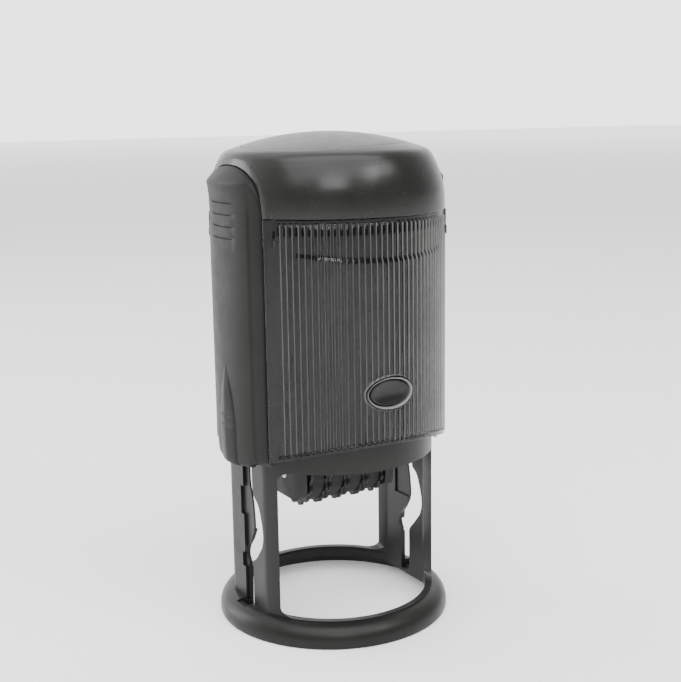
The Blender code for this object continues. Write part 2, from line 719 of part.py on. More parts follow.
def band_outline(inset):
    """A loop around the wheel's hub and over the bridge, in the (Y, Z) plane."""
    wheel_r = HUB_R + GAP + BAND_T - inset
    top_half = BAND_HALF_Y - inset
    corner = max(0.5 * MM, 1.2 * MM - inset)
    top = PRINT_FACE_Z - inset
    start = math.asin((wheel_r - top_half) / (top - WHEEL_Z))
    points = []
    steps = 20
    for i in range(steps + 1):
        angle = math.pi - start + (math.pi + 2 * start) * i / steps
        points.append((wheel_r * math.cos(angle), WHEEL_Z + wheel_r * math.sin(angle)))
    for side in (1, -1):
        for i in range(4):
            angle = math.pi / 2 * i / 3
            if side < 0:
                angle = math.pi / 2 + angle
            points.append((side * (top_half - corner) + corner * math.cos(angle),
                           top - corner + corner * math.sin(angle)))
    return points


def add_wheels_and_bands():
    flange = (WHEEL_PITCH - BAND_W) / 2 - 0.25 * MM
    for i in range(WHEEL_COUNT):
        x = (i - (WHEEL_COUNT - 1) / 2) * WHEEL_PITCH
        half = WHEEL_PITCH / 2 - 0.15 * MM
        name = f"date_wheel_{i + 1}"
        wheel = link_part(name, rod_mesh(name, HUB_R, x - half + 0.2 * MM, x + half - 0.2 * MM,
                                         "X", (0.0, WHEEL_Z), 22), (0.06, 0.06, 0.06))
        for k, (a, b) in enumerate(((x - half, x - half + flange), (x + half - flange, x + half))):
            rim_name = f"{name}_rim_{k}"
            rim = link_cutter(rim_name, toothed_disc(rim_name, a, b))
            boolean(wheel, rim, "UNION")
        bore_name = name + "_bore"
        bore = link_cutter(bore_name, rod_mesh(bore_name, AXLE_R + 0.1 * MM, x - WHEEL_PITCH,
                                               x + WHEEL_PITCH, "X", (0.0, WHEEL_Z), 12))
        boolean(wheel, bore)
        name = f"date_band_{i + 1}"
        loops = [band_outline(0.0), band_outline(BAND_T)]
        link_part(name, outline_mesh(name, loops, x - BAND_W / 2, x + BAND_W / 2, SIDE),
                  (0.02, 0.02, 0.02), 0.8)


def add_main_spring():
    curve = bpy.data.curves.new("main_spring", "CURVE")
    curve.dimensions = "3D"
    curve.bevel_depth = SPRING_WIRE_R
    curve.bevel_resolution = 2
    curve.use_fill_caps = True
    low = SHELF_Z + SHELF_T + GAP + SPRING_WIRE_R
    high = crown_z(SPRING_R) - INSERT_T - GAP - 1.5 * MM - GAP - SPRING_WIRE_R - 0.2 * MM
    per_turn = 11
    count = SPRING_TURNS * per_turn + 1
    spline = curve.splines.new("POLY")
    spline.points.add(count - 1)
    for i, point in enumerate(spline.points):
        angle = math.tau * i / per_turn
        point.co = (SPRING_R * math.cos(angle), SPRING_R * math.sin(angle),
                    low + (high - low) * i / (count - 1), 1.0)
    spring = bpy.data.objects.new("main_spring", curve)
    PARTS.objects.link(spring)
    curve.materials.append(material("main_spring_finish", (0.5, 0.5, 0.5), 0.3, 1.0))


def main():
    base_frame()
    ink_pad()
    add_main_spring()
    add_cap_shell()
    add_top_insert()
    add_grips()
    add_windows_and_cards()
    add_lock_buttons()
    add_arms_and_pins()
    add_carriage()
    add_wheels_and_bands()


main()
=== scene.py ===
import math

import bmesh
import bpy
from mathutils import Matrix, Vector


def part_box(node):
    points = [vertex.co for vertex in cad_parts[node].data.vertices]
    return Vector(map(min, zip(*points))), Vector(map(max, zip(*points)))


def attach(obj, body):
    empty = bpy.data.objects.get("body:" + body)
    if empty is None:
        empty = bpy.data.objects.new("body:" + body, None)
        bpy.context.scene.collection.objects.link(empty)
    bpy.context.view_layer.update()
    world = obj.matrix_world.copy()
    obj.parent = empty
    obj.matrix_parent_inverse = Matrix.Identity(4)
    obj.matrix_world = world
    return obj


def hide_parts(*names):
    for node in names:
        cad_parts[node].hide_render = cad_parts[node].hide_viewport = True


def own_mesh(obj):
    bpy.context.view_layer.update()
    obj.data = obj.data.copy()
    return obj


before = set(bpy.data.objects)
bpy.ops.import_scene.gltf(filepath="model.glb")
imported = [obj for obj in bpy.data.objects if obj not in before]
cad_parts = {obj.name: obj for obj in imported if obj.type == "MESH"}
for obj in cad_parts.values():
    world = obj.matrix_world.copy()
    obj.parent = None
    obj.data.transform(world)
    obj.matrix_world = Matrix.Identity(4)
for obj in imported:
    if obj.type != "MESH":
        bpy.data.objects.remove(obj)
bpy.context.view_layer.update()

# Every length below is in millimetres; MM turns it into metres when a mesh is made.
MM = 0.001

# ---- sizes read from the frame ----
RING_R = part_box("foot_ring")[1].y / MM
SHELL_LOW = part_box("left_grip")[0].z / MM
CROWN_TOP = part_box("top_insert")[1].z / MM
WINDOW_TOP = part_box("front_window")[1].z / MM
BUTTON_LOW, BUTTON_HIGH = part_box("front_lock_button")
BUTTON_Z = (BUTTON_LOW.z + BUTTON_HIGH.z) / 2 / MM

# ---- sizes shared by several pieces ----
CAP_R = 31.4            # radius at which ribs and arches are laid out round the cap
GAP = 0.3               # clearance round each grip in its pocket
FINE = 176              # points in one full turn
THROUGH = 40            # far enough to cut through the whole object
SOFT_EDGE_ANGLE = 32    # degrees; sharper edges stay sharp in the shading


# ---- mesh helpers ----

MERGE = 0.002           # points closer than this are one point


def mesh_from(name, points, faces):
    """A mesh from millimetre points, its coincident points merged and faces turned outward."""
    bm = bmesh.new()
    verts = [bm.verts.new((x * MM, y * MM, z * MM)) for x, y, z in points]
    for face in faces:
        bm.faces.new([verts[i] for i in face])
    bmesh.ops.remove_doubles(bm, verts=bm.verts, dist=MERGE * MM)
    bmesh.ops.dissolve_degenerate(bm, edges=bm.edges, dist=MERGE * MM / 4)
    bmesh.ops.recalc_face_normals(bm, faces=bm.faces)
    mesh = bpy.data.meshes.new(name)
    bm.to_mesh(mesh)
    bm.free()
    return mesh


def sheet_faces(rows, columns, wrap_rows=False, wrap_columns=False, start=0):
    """Quads of a grid of points, row after row."""
    faces = []
    for r in range(rows if wrap_rows else rows - 1):
        for c in range(columns if wrap_columns else columns - 1):
            a = start + r * columns + c
            b = start + r * columns + (c + 1) % columns
            d = start + ((r + 1) % rows) * columns + c
            e = start + ((r + 1) % rows) * columns + (c + 1) % columns
            faces.append((a, b, e, d))
    return faces


def ring_mesh(name, rings, wrap_rows=False):
    """A skin through closed rings of points; wrap_rows joins the last ring to the first."""
    points = [p for ring in rings for p in ring]
    return mesh_from(name, points, sheet_faces(len(rings), len(rings[0]), wrap_rows, True))


def slab_mesh(name, front, back):
    """A closed solid between two equal grids of points."""
    rows, columns = len(front), len(front[0])
    points = [p for row in front for p in row] + [p for row in back for p in row]
    shift = rows * columns
    faces = sheet_faces(rows, columns) + sheet_faces(rows, columns, start=shift)
    rim = [r * columns for r in range(rows)]
    rim += [(rows - 1) * columns + c for c in range(1, columns)]
    rim += [r * columns + columns - 1 for r in range(rows - 2, -1, -1)]
    rim += [c for c in range(columns - 2, 0, -1)]
    for a, b in zip(rim, rim[1:] + rim[:1]):
        faces.append((a, b, b + shift, a + shift))
    return mesh_from(name, points, faces)


def turned(name, profile, closed=True, steps=FINE):
    """A (radius, z) profile turned about Z."""
    rings = [[(r * math.sin(math.tau * i / steps), -r * math.cos(math.tau * i / steps), z)
              for i in range(steps)] for r, z in profile]
    return ring_mesh(name, rings, wrap_rows=closed)


# how an extruded outline's (u, v, depth) lie on the world axes
PLAN = Matrix.Identity(4)
SIDE = Matrix(((0, 0, 1, 0), (1, 0, 0, 0), (0, 1, 0, 0), (0, 0, 0, 1)))
FRONT = Matrix(((1, 0, 0, 0), (0, 0, -1, 0), (0, 1, 0, 0), (0, 0, 0, 1)))


def prism(name, loops, low, high, facing=PLAN):
    """Flat outlines, an outer loop and its holes, pulled from one depth to another."""
    curve = bpy.data.curves.new(name, "CURVE")
    curve.dimensions = "2D"
    curve.fill_mode = "BOTH"
    curve.extrude = (high - low) / 2 * MM
    for loop in loops:
        spline = curve.splines.new("POLY")
        spline.points.add(len(loop) - 1)
        for point, (u, v) in zip(spline.points, loop):
            point.co = (u * MM, v * MM, 0.0, 1.0)
        spline.use_cyclic_u = True
    temp = bpy.data.objects.new(name, curve)
    bpy.context.scene.collection.objects.link(temp)
    bpy.context.view_layer.update()
    mesh = bpy.data.meshes.new_from_object(
        temp.evaluated_get(bpy.context.evaluated_depsgraph_get()))
    bpy.data.objects.remove(temp, do_unlink=True)
    bm = bmesh.new()
    bm.from_mesh(mesh)
    bmesh.ops.remove_doubles(bm, verts=bm.verts, dist=0.001 * MM)
    place = facing @ Matrix.Translation((0.0, 0.0, (low + high) / 2 * MM))
    bmesh.ops.transform(bm, matrix=place, verts=bm.verts)
    bmesh.ops.recalc_face_normals(bm, faces=bm.faces)
    bm.to_mesh(mesh)
    bm.free()
    return mesh


def box(name, low, high):
    """A box between two corners."""
    bm = bmesh.new()
    bmesh.ops.create_cube(bm, size=MM)
    bmesh.ops.scale(bm, vec=[h - l for l, h in zip(low, high)], verts=bm.verts)
    bmesh.ops.translate(bm, vec=[(l + h) / 2 * MM for l, h in zip(low, high)], verts=bm.verts)
    mesh = bpy.data.meshes.new(name)
    bm.to_mesh(mesh)
    bm.free()
    return mesh


def carve(mesh, *steps):
    """The mesh after a row of booleans; each step is (operation, tool mesh)."""
    scene = bpy.context.scene
    body = bpy.data.objects.new("carving", mesh)
    scene.collection.objects.link(body)
    tools = []
    for operation, tool_mesh in steps:
        tool = bpy.data.objects.new("tool", tool_mesh)
        scene.collection.objects.link(tool)
        tools.append(tool)
        mod = body.modifiers.new("carve", "BOOLEAN")
        mod.object = tool
        mod.operation = operation
        mod.solver = "EXACT"
    bpy.context.view_layer.update()
    result = bpy.data.meshes.new_from_object(
        body.evaluated_get(bpy.context.evaluated_depsgraph_get()))
    result.name = mesh.name
    for obj in [body] + tools:
        bpy.data.objects.remove(obj, do_unlink=True)
    return result


def joined(*meshes):
    """One mesh holding the shells of several."""
    bm = bmesh.new()
    for mesh in meshes:
        bm.from_mesh(mesh)
    result = bpy.data.meshes.new(meshes[0].name)
    bm.to_mesh(result)
    bm.free()
    return result


def half_turned(mesh):
    """A copy of the mesh, turned half round about Z."""
    copy = mesh.copy()
    copy.transform(Matrix.Rotation(math.pi, 4, "Z"))
    return copy


def flat_sided_circle(radius, limit_u):
    """A circle with both its sides cut flat at limit_u."""
    points = []
    for i in range(FINE):
        angle = math.tau * (i + 0.5) / FINE
        u = max(-limit_u, min(limit_u, radius * math.cos(angle)))
        points.append((u, radius * math.sin(angle)))
    return points


def ellipse(width, height, centre_v, count=72):
    """An upright or lying oval centred at (0, centre_v)."""
    return [(width / 2 * math.cos(math.tau * i / count),
             centre_v + height / 2 * math.sin(math.tau * i / count)) for i in range(count)]


def rounded_rect(u0, u1, v0, v1, radius, steps=8):
    """A rectangle with rounded corners."""
    points = []
    corners = ((u1, v0, -90), (u1, v1, 0), (u0, v1, 90), (u0, v0, 180))
    for u, v, start in corners:
        cu = u - radius if u == u1 else u + radius
        cv = v - radius if v == v1 else v + radius
        for i in range(steps + 1):
            angle = math.radians(start + 90 * i / steps)
            points.append((cu + radius * math.cos(angle), cv + radius * math.sin(angle)))
    return points


def smooth_line(points, steps=8):
    """A Catmull-Rom curve through the given points."""
    padded = [points[0]] + list(points) + [points[-1]]
    line = []
    for p0, p1, p2, p3 in zip(padded, padded[1:], padded[2:], padded[3:]):
        for i in range(steps):
            t = i / steps
            line.append(tuple(
                0.5 * (2 * b + (c - a) * t + (2 * a - 5 * b + 4 * c - d) * t * t
                       + (3 * b - a - 3 * c + d) * t ** 3)
                for a, b, c, d in zip(p0, p1, p2, p3)))
    line.append(points[-1])
    return line


def ramp(value, stops):
    """Straight-line interpolation in a list of (value, result) stops."""
    if value <= stops[0][0]:
        return stops[0][1]
    for (a, x), (b, y) in zip(stops, stops[1:]):
        if value <= b:
            return x + (y - x) * (value - a) / (b - a)
    return stops[-1][1]


def fillet(distance, radius):
    """How far a surface drops at a distance inside a rounded edge."""
    if distance >= radius:
        return 0.0
    return radius - math.sqrt(max(0.0, radius ** 2 - (radius - distance) ** 2))


def piece(name, mesh, finish, body, stands_for, sharp=SOFT_EDGE_ANGLE):
    """Put a finished mesh on a body in place of CAD nodes."""
    obj = bpy.data.objects.new(name, mesh)
    bpy.context.scene.collection.objects.link(obj)
    mesh.materials.clear()
    mesh.materials.append(finish)
    mesh.shade_smooth()
    mesh.set_sharp_from_angle(angle=math.radians(sharp))
    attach(obj, body)
    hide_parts(*stands_for)
    return obj


# ---- finishes ----

def new_material(name):
    """A node material, its node tree and its shader."""
    mat = bpy.data.materials.new(name)
    mat.use_nodes = True
    tree = mat.node_tree
    return mat, tree, tree.nodes["Principled BSDF"]


def noise(tree, scale, detail=3.0, roughness=0.5, stretch=None):
    """A noise texture in object space, its scale in features per metre."""
    coord = tree.nodes.new("ShaderNodeTexCoord")
    source = coord.outputs["Object"]
    if stretch:
        mapping = tree.nodes.new("ShaderNodeMapping")
        mapping.inputs["Scale"].default_value = stretch
        tree.links.new(source, mapping.inputs["Vector"])
        source = mapping.outputs["Vector"]
    node = tree.nodes.new("ShaderNodeTexNoise")
    node.inputs["Scale"].default_value = scale
    node.inputs["Detail"].default_value = detail
    node.inputs["Roughness"].default_value = roughness
    tree.links.new(source, node.inputs["Vector"])
    return node.outputs["Fac"]


def spread(tree, source, low, high, from_low=0.3, from_high=0.7):
    """Remap a value to run from low to high."""
    node = tree.nodes.new("ShaderNodeMapRange")
    node.inputs["From Min"].default_value = from_low
    node.inputs["From Max"].default_value = from_high
    node.inputs["To Min"].default_value = low
    node.inputs["To Max"].default_value = high
    tree.links.new(source, node.inputs["Value"])
    return node.outputs["Result"]


def two_tone(tree, source, first, second):
    """Mix two colours by a value from 0 to 1."""
    node = tree.nodes.new("ShaderNodeMix")
    node.data_type = "RGBA"
    node.inputs["A"].default_value = (*first, 1.0)
    node.inputs["B"].default_value = (*second, 1.0)
    tree.links.new(source, node.inputs["Factor"])
    return node.outputs["Result"]


def bumps(tree, shader, layers):
    """Stack bump layers of (height source, strength, distance in mm) onto the shader."""
    previous = None
    for source, strength, distance in layers:
        node = tree.nodes.new("ShaderNodeBump")
        node.inputs["Strength"].default_value = strength
        node.inputs["Distance"].default_value = distance * MM
        tree.links.new(source, node.inputs["Height"])
        if previous:
            tree.links.new(previous, node.inputs["Normal"])
        previous = node.outputs["Normal"]
    tree.links.new(previous, shader.inputs["Normal"])


def plastic(name, dark, light, rough, rough_spread, grain=2600.0, grain_depth=0.02,
            grain_strength=0.35, specular=0.5):
    """Moulded plastic with a fine grain, faint flow marks and handling marks in the gloss."""
    mat, tree, shader = new_material(name)
    flow = noise(tree, 45.0, 4.0, 0.6)
    handling = noise(tree, 190.0, 6.0, 0.65)
    tone = two_tone(tree, spread(tree, flow, 0.0, 1.0), dark, light)
    tree.links.new(tone, shader.inputs["Base Color"])
    tree.links.new(spread(tree, handling, rough - rough_spread, rough + rough_spread),
                   shader.inputs["Roughness"])
    bumps(tree, shader, [(noise(tree, grain, 2.0), grain_strength, grain_depth),
                         (noise(tree, 120.0, 2.0), 0.12, 0.05)])
    shader.inputs["Specular IOR Level"].default_value = specular
    return mat


def rubber(name, dark, light, rough=0.8):
    """Matt rubber with a faint mottle."""
    mat, tree, shader = new_material(name)
    mottle = noise(tree, 320.0, 5.0, 0.6)
    tree.links.new(two_tone(tree, spread(tree, mottle, 0.0, 1.0), dark, light),
                   shader.inputs["Base Color"])
    tree.links.new(spread(tree, mottle, rough - 0.08, rough + 0.08),
                   shader.inputs["Roughness"])
    bumps(tree, shader, [(noise(tree, 3500.0, 3.0), 0.4, 0.03)])
    shader.inputs["Specular IOR Level"].default_value = 0.35
    return mat


def felt(name, dark, light):
    """Inked felt with short fibres."""
    mat, tree, shader = new_material(name)
    fibres = noise(tree, 2200.0, 6.0, 0.75, stretch=(1.0, 1.6, 1.0))
    tree.links.new(two_tone(tree, spread(tree, fibres, 0.0, 1.0), dark, light),
                   shader.inputs["Base Color"])
    tree.links.new(spread(tree, fibres, 0.85, 0.98), shader.inputs["Roughness"])
    bumps(tree, shader, [(fibres, 0.8, 0.12)])
    shader.inputs["Sheen Weight"].default_value = 0.25
    return mat


def steel(name):
    """Bright steel, brushed along one direction."""
    mat, tree, shader = new_material(name)
    brushed = noise(tree, 900.0, 4.0, 0.6, stretch=(0.15, 1.0, 1.0))
    tree.links.new(two_tone(tree, spread(tree, brushed, 0.0, 1.0), (0.42, 0.42, 0.43),
                            (0.58, 0.58, 0.58)), shader.inputs["Base Color"])
    tree.links.new(spread(tree, brushed, 0.24, 0.4), shader.inputs["Roughness"])
    bumps(tree, shader, [(brushed, 0.2, 0.01)])
    shader.inputs["Metallic"].default_value = 1.0
    return mat


def clear_plastic(name):
    """The clear ribbed window: faint moulding haze and fine scratches."""
    mat, tree, shader = new_material(name)
    haze = noise(tree, 160.0, 5.0, 0.6)
    tree.links.new(two_tone(tree, spread(tree, haze, 0.0, 1.0), (0.11, 0.11, 0.108),
                            (0.15, 0.15, 0.147)), shader.inputs["Base Color"])
    tree.links.new(spread(tree, haze, 0.05, 0.1), shader.inputs["Roughness"])
    bumps(tree, shader, [(noise(tree, 500.0, 2.0), 0.1, 0.02)])
    shader.inputs["Transmission Weight"].default_value = 1.0
    shader.inputs["IOR"].default_value = 1.36
    return mat


SHELL = plastic("cap_satin_plastic", (0.0105, 0.0105, 0.0098), (0.0145, 0.0145, 0.0136),
                0.25, 0.04, grain_depth=0.008, specular=0.3)
GRIP = plastic("grip_textured_plastic", (0.0085, 0.0085, 0.008), (0.012, 0.012, 0.0113),
               0.44, 0.06, grain=2000.0, grain_depth=0.03, grain_strength=0.5, specular=0.14)
FOOT = plastic("foot_satin_plastic", (0.010, 0.010, 0.0094), (0.014, 0.014, 0.0131),
               0.36, 0.06, specular=0.2)
INSERT = plastic("insert_grey_plastic", (0.036, 0.036, 0.0345), (0.046, 0.046, 0.044),
                 0.32, 0.05)
BUTTON = plastic("button_plastic", (0.007, 0.007, 0.0066), (0.0095, 0.0095, 0.009),
                 0.32, 0.05, specular=0.3)
WORKS = plastic("works_plastic", (0.010, 0.010, 0.0095), (0.015, 0.015, 0.0142),
                0.48, 0.07, specular=0.3)
CARD = plastic("index_card_stock", (0.010, 0.010, 0.0095), (0.0135, 0.0135, 0.0128),
               0.75, 0.05, grain=1500.0, grain_depth=0.03, specular=0.2)
CLEAR = clear_plastic("clear_window_plastic")
# lighter opaque finish for the rib and collar flanks: painted highlight lines, standing in for
# the light that the flanks catch
RIB_FLANK_HIGHLIGHT = plastic("rib_flank_painted_highlight", (0.13, 0.13, 0.127), (0.19, 0.19, 0.186),
                    0.45, 0.08, grain=3000.0, specular=0.3)
BAND = rubber("band_rubber", (0.012, 0.012, 0.012), (0.02, 0.02, 0.019))
DIE = rubber("die_rubber", (0.16, 0.025, 0.02), (0.21, 0.035, 0.03), 0.7)
FELT = felt("ink_felt", (0.006, 0.007, 0.016), (0.02, 0.022, 0.045))
STEEL = steel("spring_steel")


# ---- base frame ----

TUBE_R = 27.95          # the guide tube and the legs are one round wall with flat sides
TUBE_FLAT_X = 26.1
TUBE_WALL = 1.8
TUBE_LOW = 3.2
TUBE_TOP = 78.6
FOOT_HOLE_R = 26.0
FOOT_TOP = 6.0
FOOT_EDGE_Z = 1.5       # height at which the foot ring is widest
SHELF_LOW = 76.2        # the spring stands on the shelf, round the boss
SHELF_HIGH = 78.2
BOSS_R = 7.4
BOSS_TOP = 83.0
OPENING_HALF_X = 24.1   # the openings between the legs, front and rear
OPENING_TOP = 46.0
SLOT_DEPTH = 27.6
# front and rear edges of the cam slot in the (Y, Z) plane, top to bottom
SLOT_FRONT = ((-3.0, 46), (-3.2, 39.5), (-3.9, 37.1), (-6.5, 34.9), (-8.2, 30.8), (-8.9, 27.2),
              (-8.1, 23.9), (-5.5, 20.7), (-2.7, 17.7), (-2.4, 15.5))
SLOT_REAR = ((0.2, 46), (0.0, 39.5), (-1.1, 36.1), (-1.9, 31.8), (-2.1, 27.3), (-0.2, 23.7),
             (2.2, 20.8), (2.9, 18.3), (1.8, 16.4))
SLOT_ENDS = (62.0, 4.2)
# the channel down each leg's outer face, its notches, and the recess in the inner face
CHANNEL_TOP = 60.0
NOTCHES = ((30.0, 38.0), (15.0, 19.0))
RECESS_LOW = 27.0
ARM_SLOT_X = 22.6       # the carrier arms pass through the shelf outside this


def foot_ring_profile():
    """The foot ring's section, as (radius, z)."""
    reach = RING_R - TUBE_R + 0.4
    profile = [(FOOT_HOLE_R + 0.35, FOOT_TOP)]
    for i in range(15):
        angle = math.pi / 2 * (1 - i / 14)
        profile.append((TUBE_R - 0.4 + reach * math.cos(angle),
                        FOOT_EDGE_Z + (FOOT_TOP - FOOT_EDGE_Z) * math.sin(angle)))
    profile += [(RING_R - 0.02, 0.5), (RING_R - 0.15, 0.15), (RING_R - 0.5, 0.0), (30.35, 0.0),
                (30.1, 0.25), (29.3, 1.6), (28.5, 2.7), (27.4, 3.8), (26.1, 4.75),
                (FOOT_HOLE_R, 5.0), (FOOT_HOLE_R, 5.65), (FOOT_HOLE_R + 0.1, 5.9)]
    return profile


def cam_slot_outline():
    """The cam slot that goes through both legs, as (y, z)."""
    top, bottom = SLOT_ENDS
    outline = [(SLOT_FRONT[0][0], top), (SLOT_REAR[0][0], top)] + smooth_line(SLOT_REAR)
    outline += [(SLOT_REAR[-1][0], bottom), (SLOT_FRONT[-1][0], bottom)]
    return outline + smooth_line(SLOT_FRONT)[::-1]


def leg_cuts(side):
    """The channel, notches, recess and arm slot on one side, as low and high corners."""
    def across(near, far):
        return sorted((side * near, side * far))

    inner_wall = TUBE_FLAT_X - TUBE_WALL
    x0, x1 = across(TUBE_FLAT_X - 0.8, TUBE_FLAT_X + 3)
    cuts = [((x0, -2.5, FOOT_TOP - 0.5), (x1, 2.5, CHANNEL_TOP))]
    for low, high in NOTCHES:
        cuts.append(((x0 + 0.05, 2.0, low), (x1, 4.1, high)))
    x0, x1 = across(inner_wall - 3, inner_wall + 0.5)
    cuts.append(((x0, -4.0, RECESS_LOW), (x1, 5.0, CHANNEL_TOP)))
    x0, x1 = across(ARM_SLOT_X, inner_wall + 0.1)
    cuts.append(((x0, -5.1, SHELF_LOW - 1), (x1, 5.1, SHELF_HIGH + 1)))
    return cuts


def make_base():
    """The foot ring, its two slotted legs and the guide tube, in one moulding."""
    outside = flat_sided_circle(TUBE_R, TUBE_FLAT_X)
    inside = flat_sided_circle(TUBE_R - TUBE_WALL, TUBE_FLAT_X - TUBE_WALL)
    tube = prism("foot_frame", [outside, inside], TUBE_LOW, TUBE_TOP)
    middle = TUBE_WALL / 2
    shelf = [flat_sided_circle(TUBE_R - middle, TUBE_FLAT_X - middle)]
    boss = [(0.0, SHELF_LOW + 1), (BOSS_R, SHELF_LOW + 1), (BOSS_R, BOSS_TOP - 0.6),
            (BOSS_R - 0.6, BOSS_TOP), (0.0, BOSS_TOP)]
    opening = rounded_rect(-OPENING_HALF_X, OPENING_HALF_X, FOOT_TOP + 0.2, OPENING_TOP, 2.5)
    slot = prism("slot", [cam_slot_outline()], -SLOT_DEPTH, SLOT_DEPTH, SIDE)
    steps = [("UNION", turned("ring", foot_ring_profile())),
             ("UNION", prism("shelf", shelf, SHELF_LOW, SHELF_HIGH)),
             ("UNION", turned("boss", boss, closed=False, steps=64)),
             ("DIFFERENCE", prism("opening", [opening], -THROUGH, THROUGH, FRONT)),
             ("DIFFERENCE", slot)]
    for side in (-1, 1):
        steps += [("DIFFERENCE", box("leg_cut", low, high)) for low, high in leg_cuts(side)]
    piece("foot_and_legs", carve(tube, *steps), FOOT, "base",
          ["foot_ring", "left_leg", "right_leg", "guide_tube"])


# ---- cap ----

# the dome's shoulder, from the crown's edge down to the upright wall, as (radius, z)
SHOULDER = ((26.2, 127.58), (26.75, 127.3), (27.45, 126.75), (28.2, 125.8), (28.85, 124.6),
            (29.45, 123.3), (30.25, 121.2), (30.95, 118.8), (31.35, 116.4), (31.5, 113.8))
# the inside of the dome, clear of the guide tube when the cap is fully down
DOME_INSIDE = ((28.3, 117.2), (27.7, 118.8), (26.5, 121.4), (25.1, 123.4), (23.6, 124.3),
               (20.0, 124.9), (15.0, 125.2))
DOME_LIP_Z = WINDOW_TOP + 0.14
WALL_R = 31.5
WALL_LOW = 112.1
LINER_R = 29.4          # the wall behind the windows
LINER_BORE_R = 28.3
LINER_BORE_TOP = 112.5
CROWN_RADIUS = 76.5     # radius of the sphere that the crown is part of
CROWN_WALL = 1.9
BUTTON_HOLE = (12.3, 7.2)
ARCH_TOP = 53.7         # the cap's lower edge at the middle of the front and rear
ARCH_FALL = 9.6
ARCH_PHI = math.radians(59.4)

GRIP_IN_R = 29.75
GRIP_HALF_Y = 15.1
GRIP_SPRING_Z = 111.2   # where the arch at the grip's top springs from its upright edges
GRIP_ARCH_RISE = 12.9
GRIP_ARCH_POWER = 2.35
GRIP_CORNER_Z = 120.0
GRIP_LOW = 46.2
GROOVES = (106.0, 109.0, 112.0, 115.0)
GROOVE_HALF_Y = 5.9
GROOVE_DEPTH = 0.4
GROOVE_IN = 0.16        # half width of a groove at its floor and at its mouth
GROOVE_OUT = 0.27
EDGE_R = 0.32
SIDE_CREASE_Y = 11.3
SIDE_CREASE_W = 0.14
SIDE_CREASE_DEPTH = 0.07
GRIP_STATIONS = [side * y / GRIP_HALF_Y for side in (-1, 1)
                 for y in (9.6, 10.5, SIDE_CREASE_Y, SIDE_CREASE_Y + SIDE_CREASE_W)]
POCKET_EDGE_LOW = 108.0     # the chamfer round each pocket starts here
POCKET_EDGE_IN = 0.15
POCKET_EDGE_OUT = 1.6
POCKET_EDGE_DEPTH = 0.5

TONGUE_TOP = 72.6
TONGUE_NECK = 56.0      # the tongue tapers above this
TONGUE_HALF_Y = 5.2
TONGUE_LIFT = 0.75
TONGUE_SINK = 0.3
TONGUE_GROOVES = (57.0, 59.6)

INSERT_LONG = 25.7
INSERT_SHORT = 21.6
INSERT_SEAM = 0.14
INSERT_TURN = math.radians(-50)


def crown_z(radius):
    """Height of the crown at a distance from the axis."""
    return CROWN_TOP - (CROWN_RADIUS - math.sqrt(CROWN_RADIUS ** 2 - radius ** 2))


def dome_r(z):
    """Outer radius of the dome at a height."""
    return ramp(z, [(height, r) for r, height in SHOULDER[::-1]])


def insert_r(phi):
    """The top insert's outline, an oval set across the top, seen from above."""
    turn = phi - INSERT_TURN
    return 1 / math.hypot(math.cos(turn) / INSERT_LONG, math.sin(turn) / INSERT_SHORT)


def dome_point(phi, r, z):
    """A point at an angle from the front, a radius and a height."""
    return (r * math.sin(phi), -r * math.cos(phi), z)


def arch_low_z(phi):
    """Height of the cap's lower edge at an angle from the front."""
    return ARCH_TOP - ARCH_FALL * (1 - math.cos(phi))


def grip_outline(grow=0.0, steps=48):
    """The side panel's outline in the (Y, Z) plane, grown outward by some distance."""
    half = GRIP_HALF_Y + grow
    rise = GRIP_ARCH_RISE + grow
    power = 2 / GRIP_ARCH_POWER
    points = [(-half, GRIP_LOW - 4 * grow), (half, GRIP_LOW - 4 * grow)]
    for i in range(steps + 1):
        angle = math.pi * i / steps
        across = math.copysign(abs(math.cos(angle)) ** power, math.cos(angle))
        points.append((half * across, GRIP_SPRING_Z + rise * abs(math.sin(angle)) ** power))
    return points


def grip_rows(grow):
    """(z, half width) of the side panel from its foot to the top of its arch."""
    half = GRIP_HALF_Y + grow
    rise = GRIP_ARCH_RISE + grow
    low = GRIP_LOW - 4 * grow
    zs = [low, low + 0.12, low + 0.3, low + 0.6, low + 1.2, 48.5, 49.5, 51.0, 53.0, 56.0, 60.0]
    zs += [60.0 + 3.0 * k for k in range(1, 15)]
    for groove in GROOVES:
        zs += [groove + shift for shift in (-GROOVE_OUT, -GROOVE_IN, GROOVE_IN, GROOVE_OUT)]
    zs += [116.5, 118.0, 119.0, GRIP_CORNER_Z - 0.3, GRIP_CORNER_Z + 0.1]
    for k in range(19):
        angle = math.pi / 2 * k / 18
        zs.append(GRIP_SPRING_Z + rise * math.sin(angle) ** (2 / GRIP_ARCH_POWER))
    rows = []
    for z in sorted(set(round(z, 3) for z in zs)):
        share = min(1.0, max(0.0, (z - GRIP_SPRING_Z) / rise))
        rows.append((z, half * (1 - share ** GRIP_ARCH_POWER) ** (1 / GRIP_ARCH_POWER)))
    return rows


def grip_r(z):
    """Outer radius of the side panel at a height."""
    return ramp(z, [(GRIP_LOW, 30.6), (GRIP_LOW + 0.25, 30.85), (GRIP_LOW + 0.8, 31.0),
                    (48.5, 31.1), (50.5, 31.2), (54.0, 31.27), (60.0, 31.3), (112.5, 31.27),
                    (115.5, 31.37), (118.0, 31.62), (119.7, 31.87), (120.1, 31.78),
                    (127.0, 31.78 - 6.9 * 0.75)])


def grip_lift(y, z):
    """How far the panel's lower edge rises towards its front and rear edges."""
    edge = ramp(abs(y), [(0.0, 0.0), (9.6, 0.6), (10.5, 1.7), (15.1, 2.6)])
    return edge * ramp(z, [(GRIP_LOW, 1.0), (54.0, 0.0)])


def grip_back_r(z):
    """Inner radius of the side panel at a height."""
    return ramp(z, [(118.0, GRIP_IN_R), (123.9, 27.1)])


def side_point(side, y, z, radius):
    """The point on one side of the object at a radius and a (y, z) place."""
    return (side * math.sqrt(max(0.0, radius ** 2 - y ** 2)), y, z)


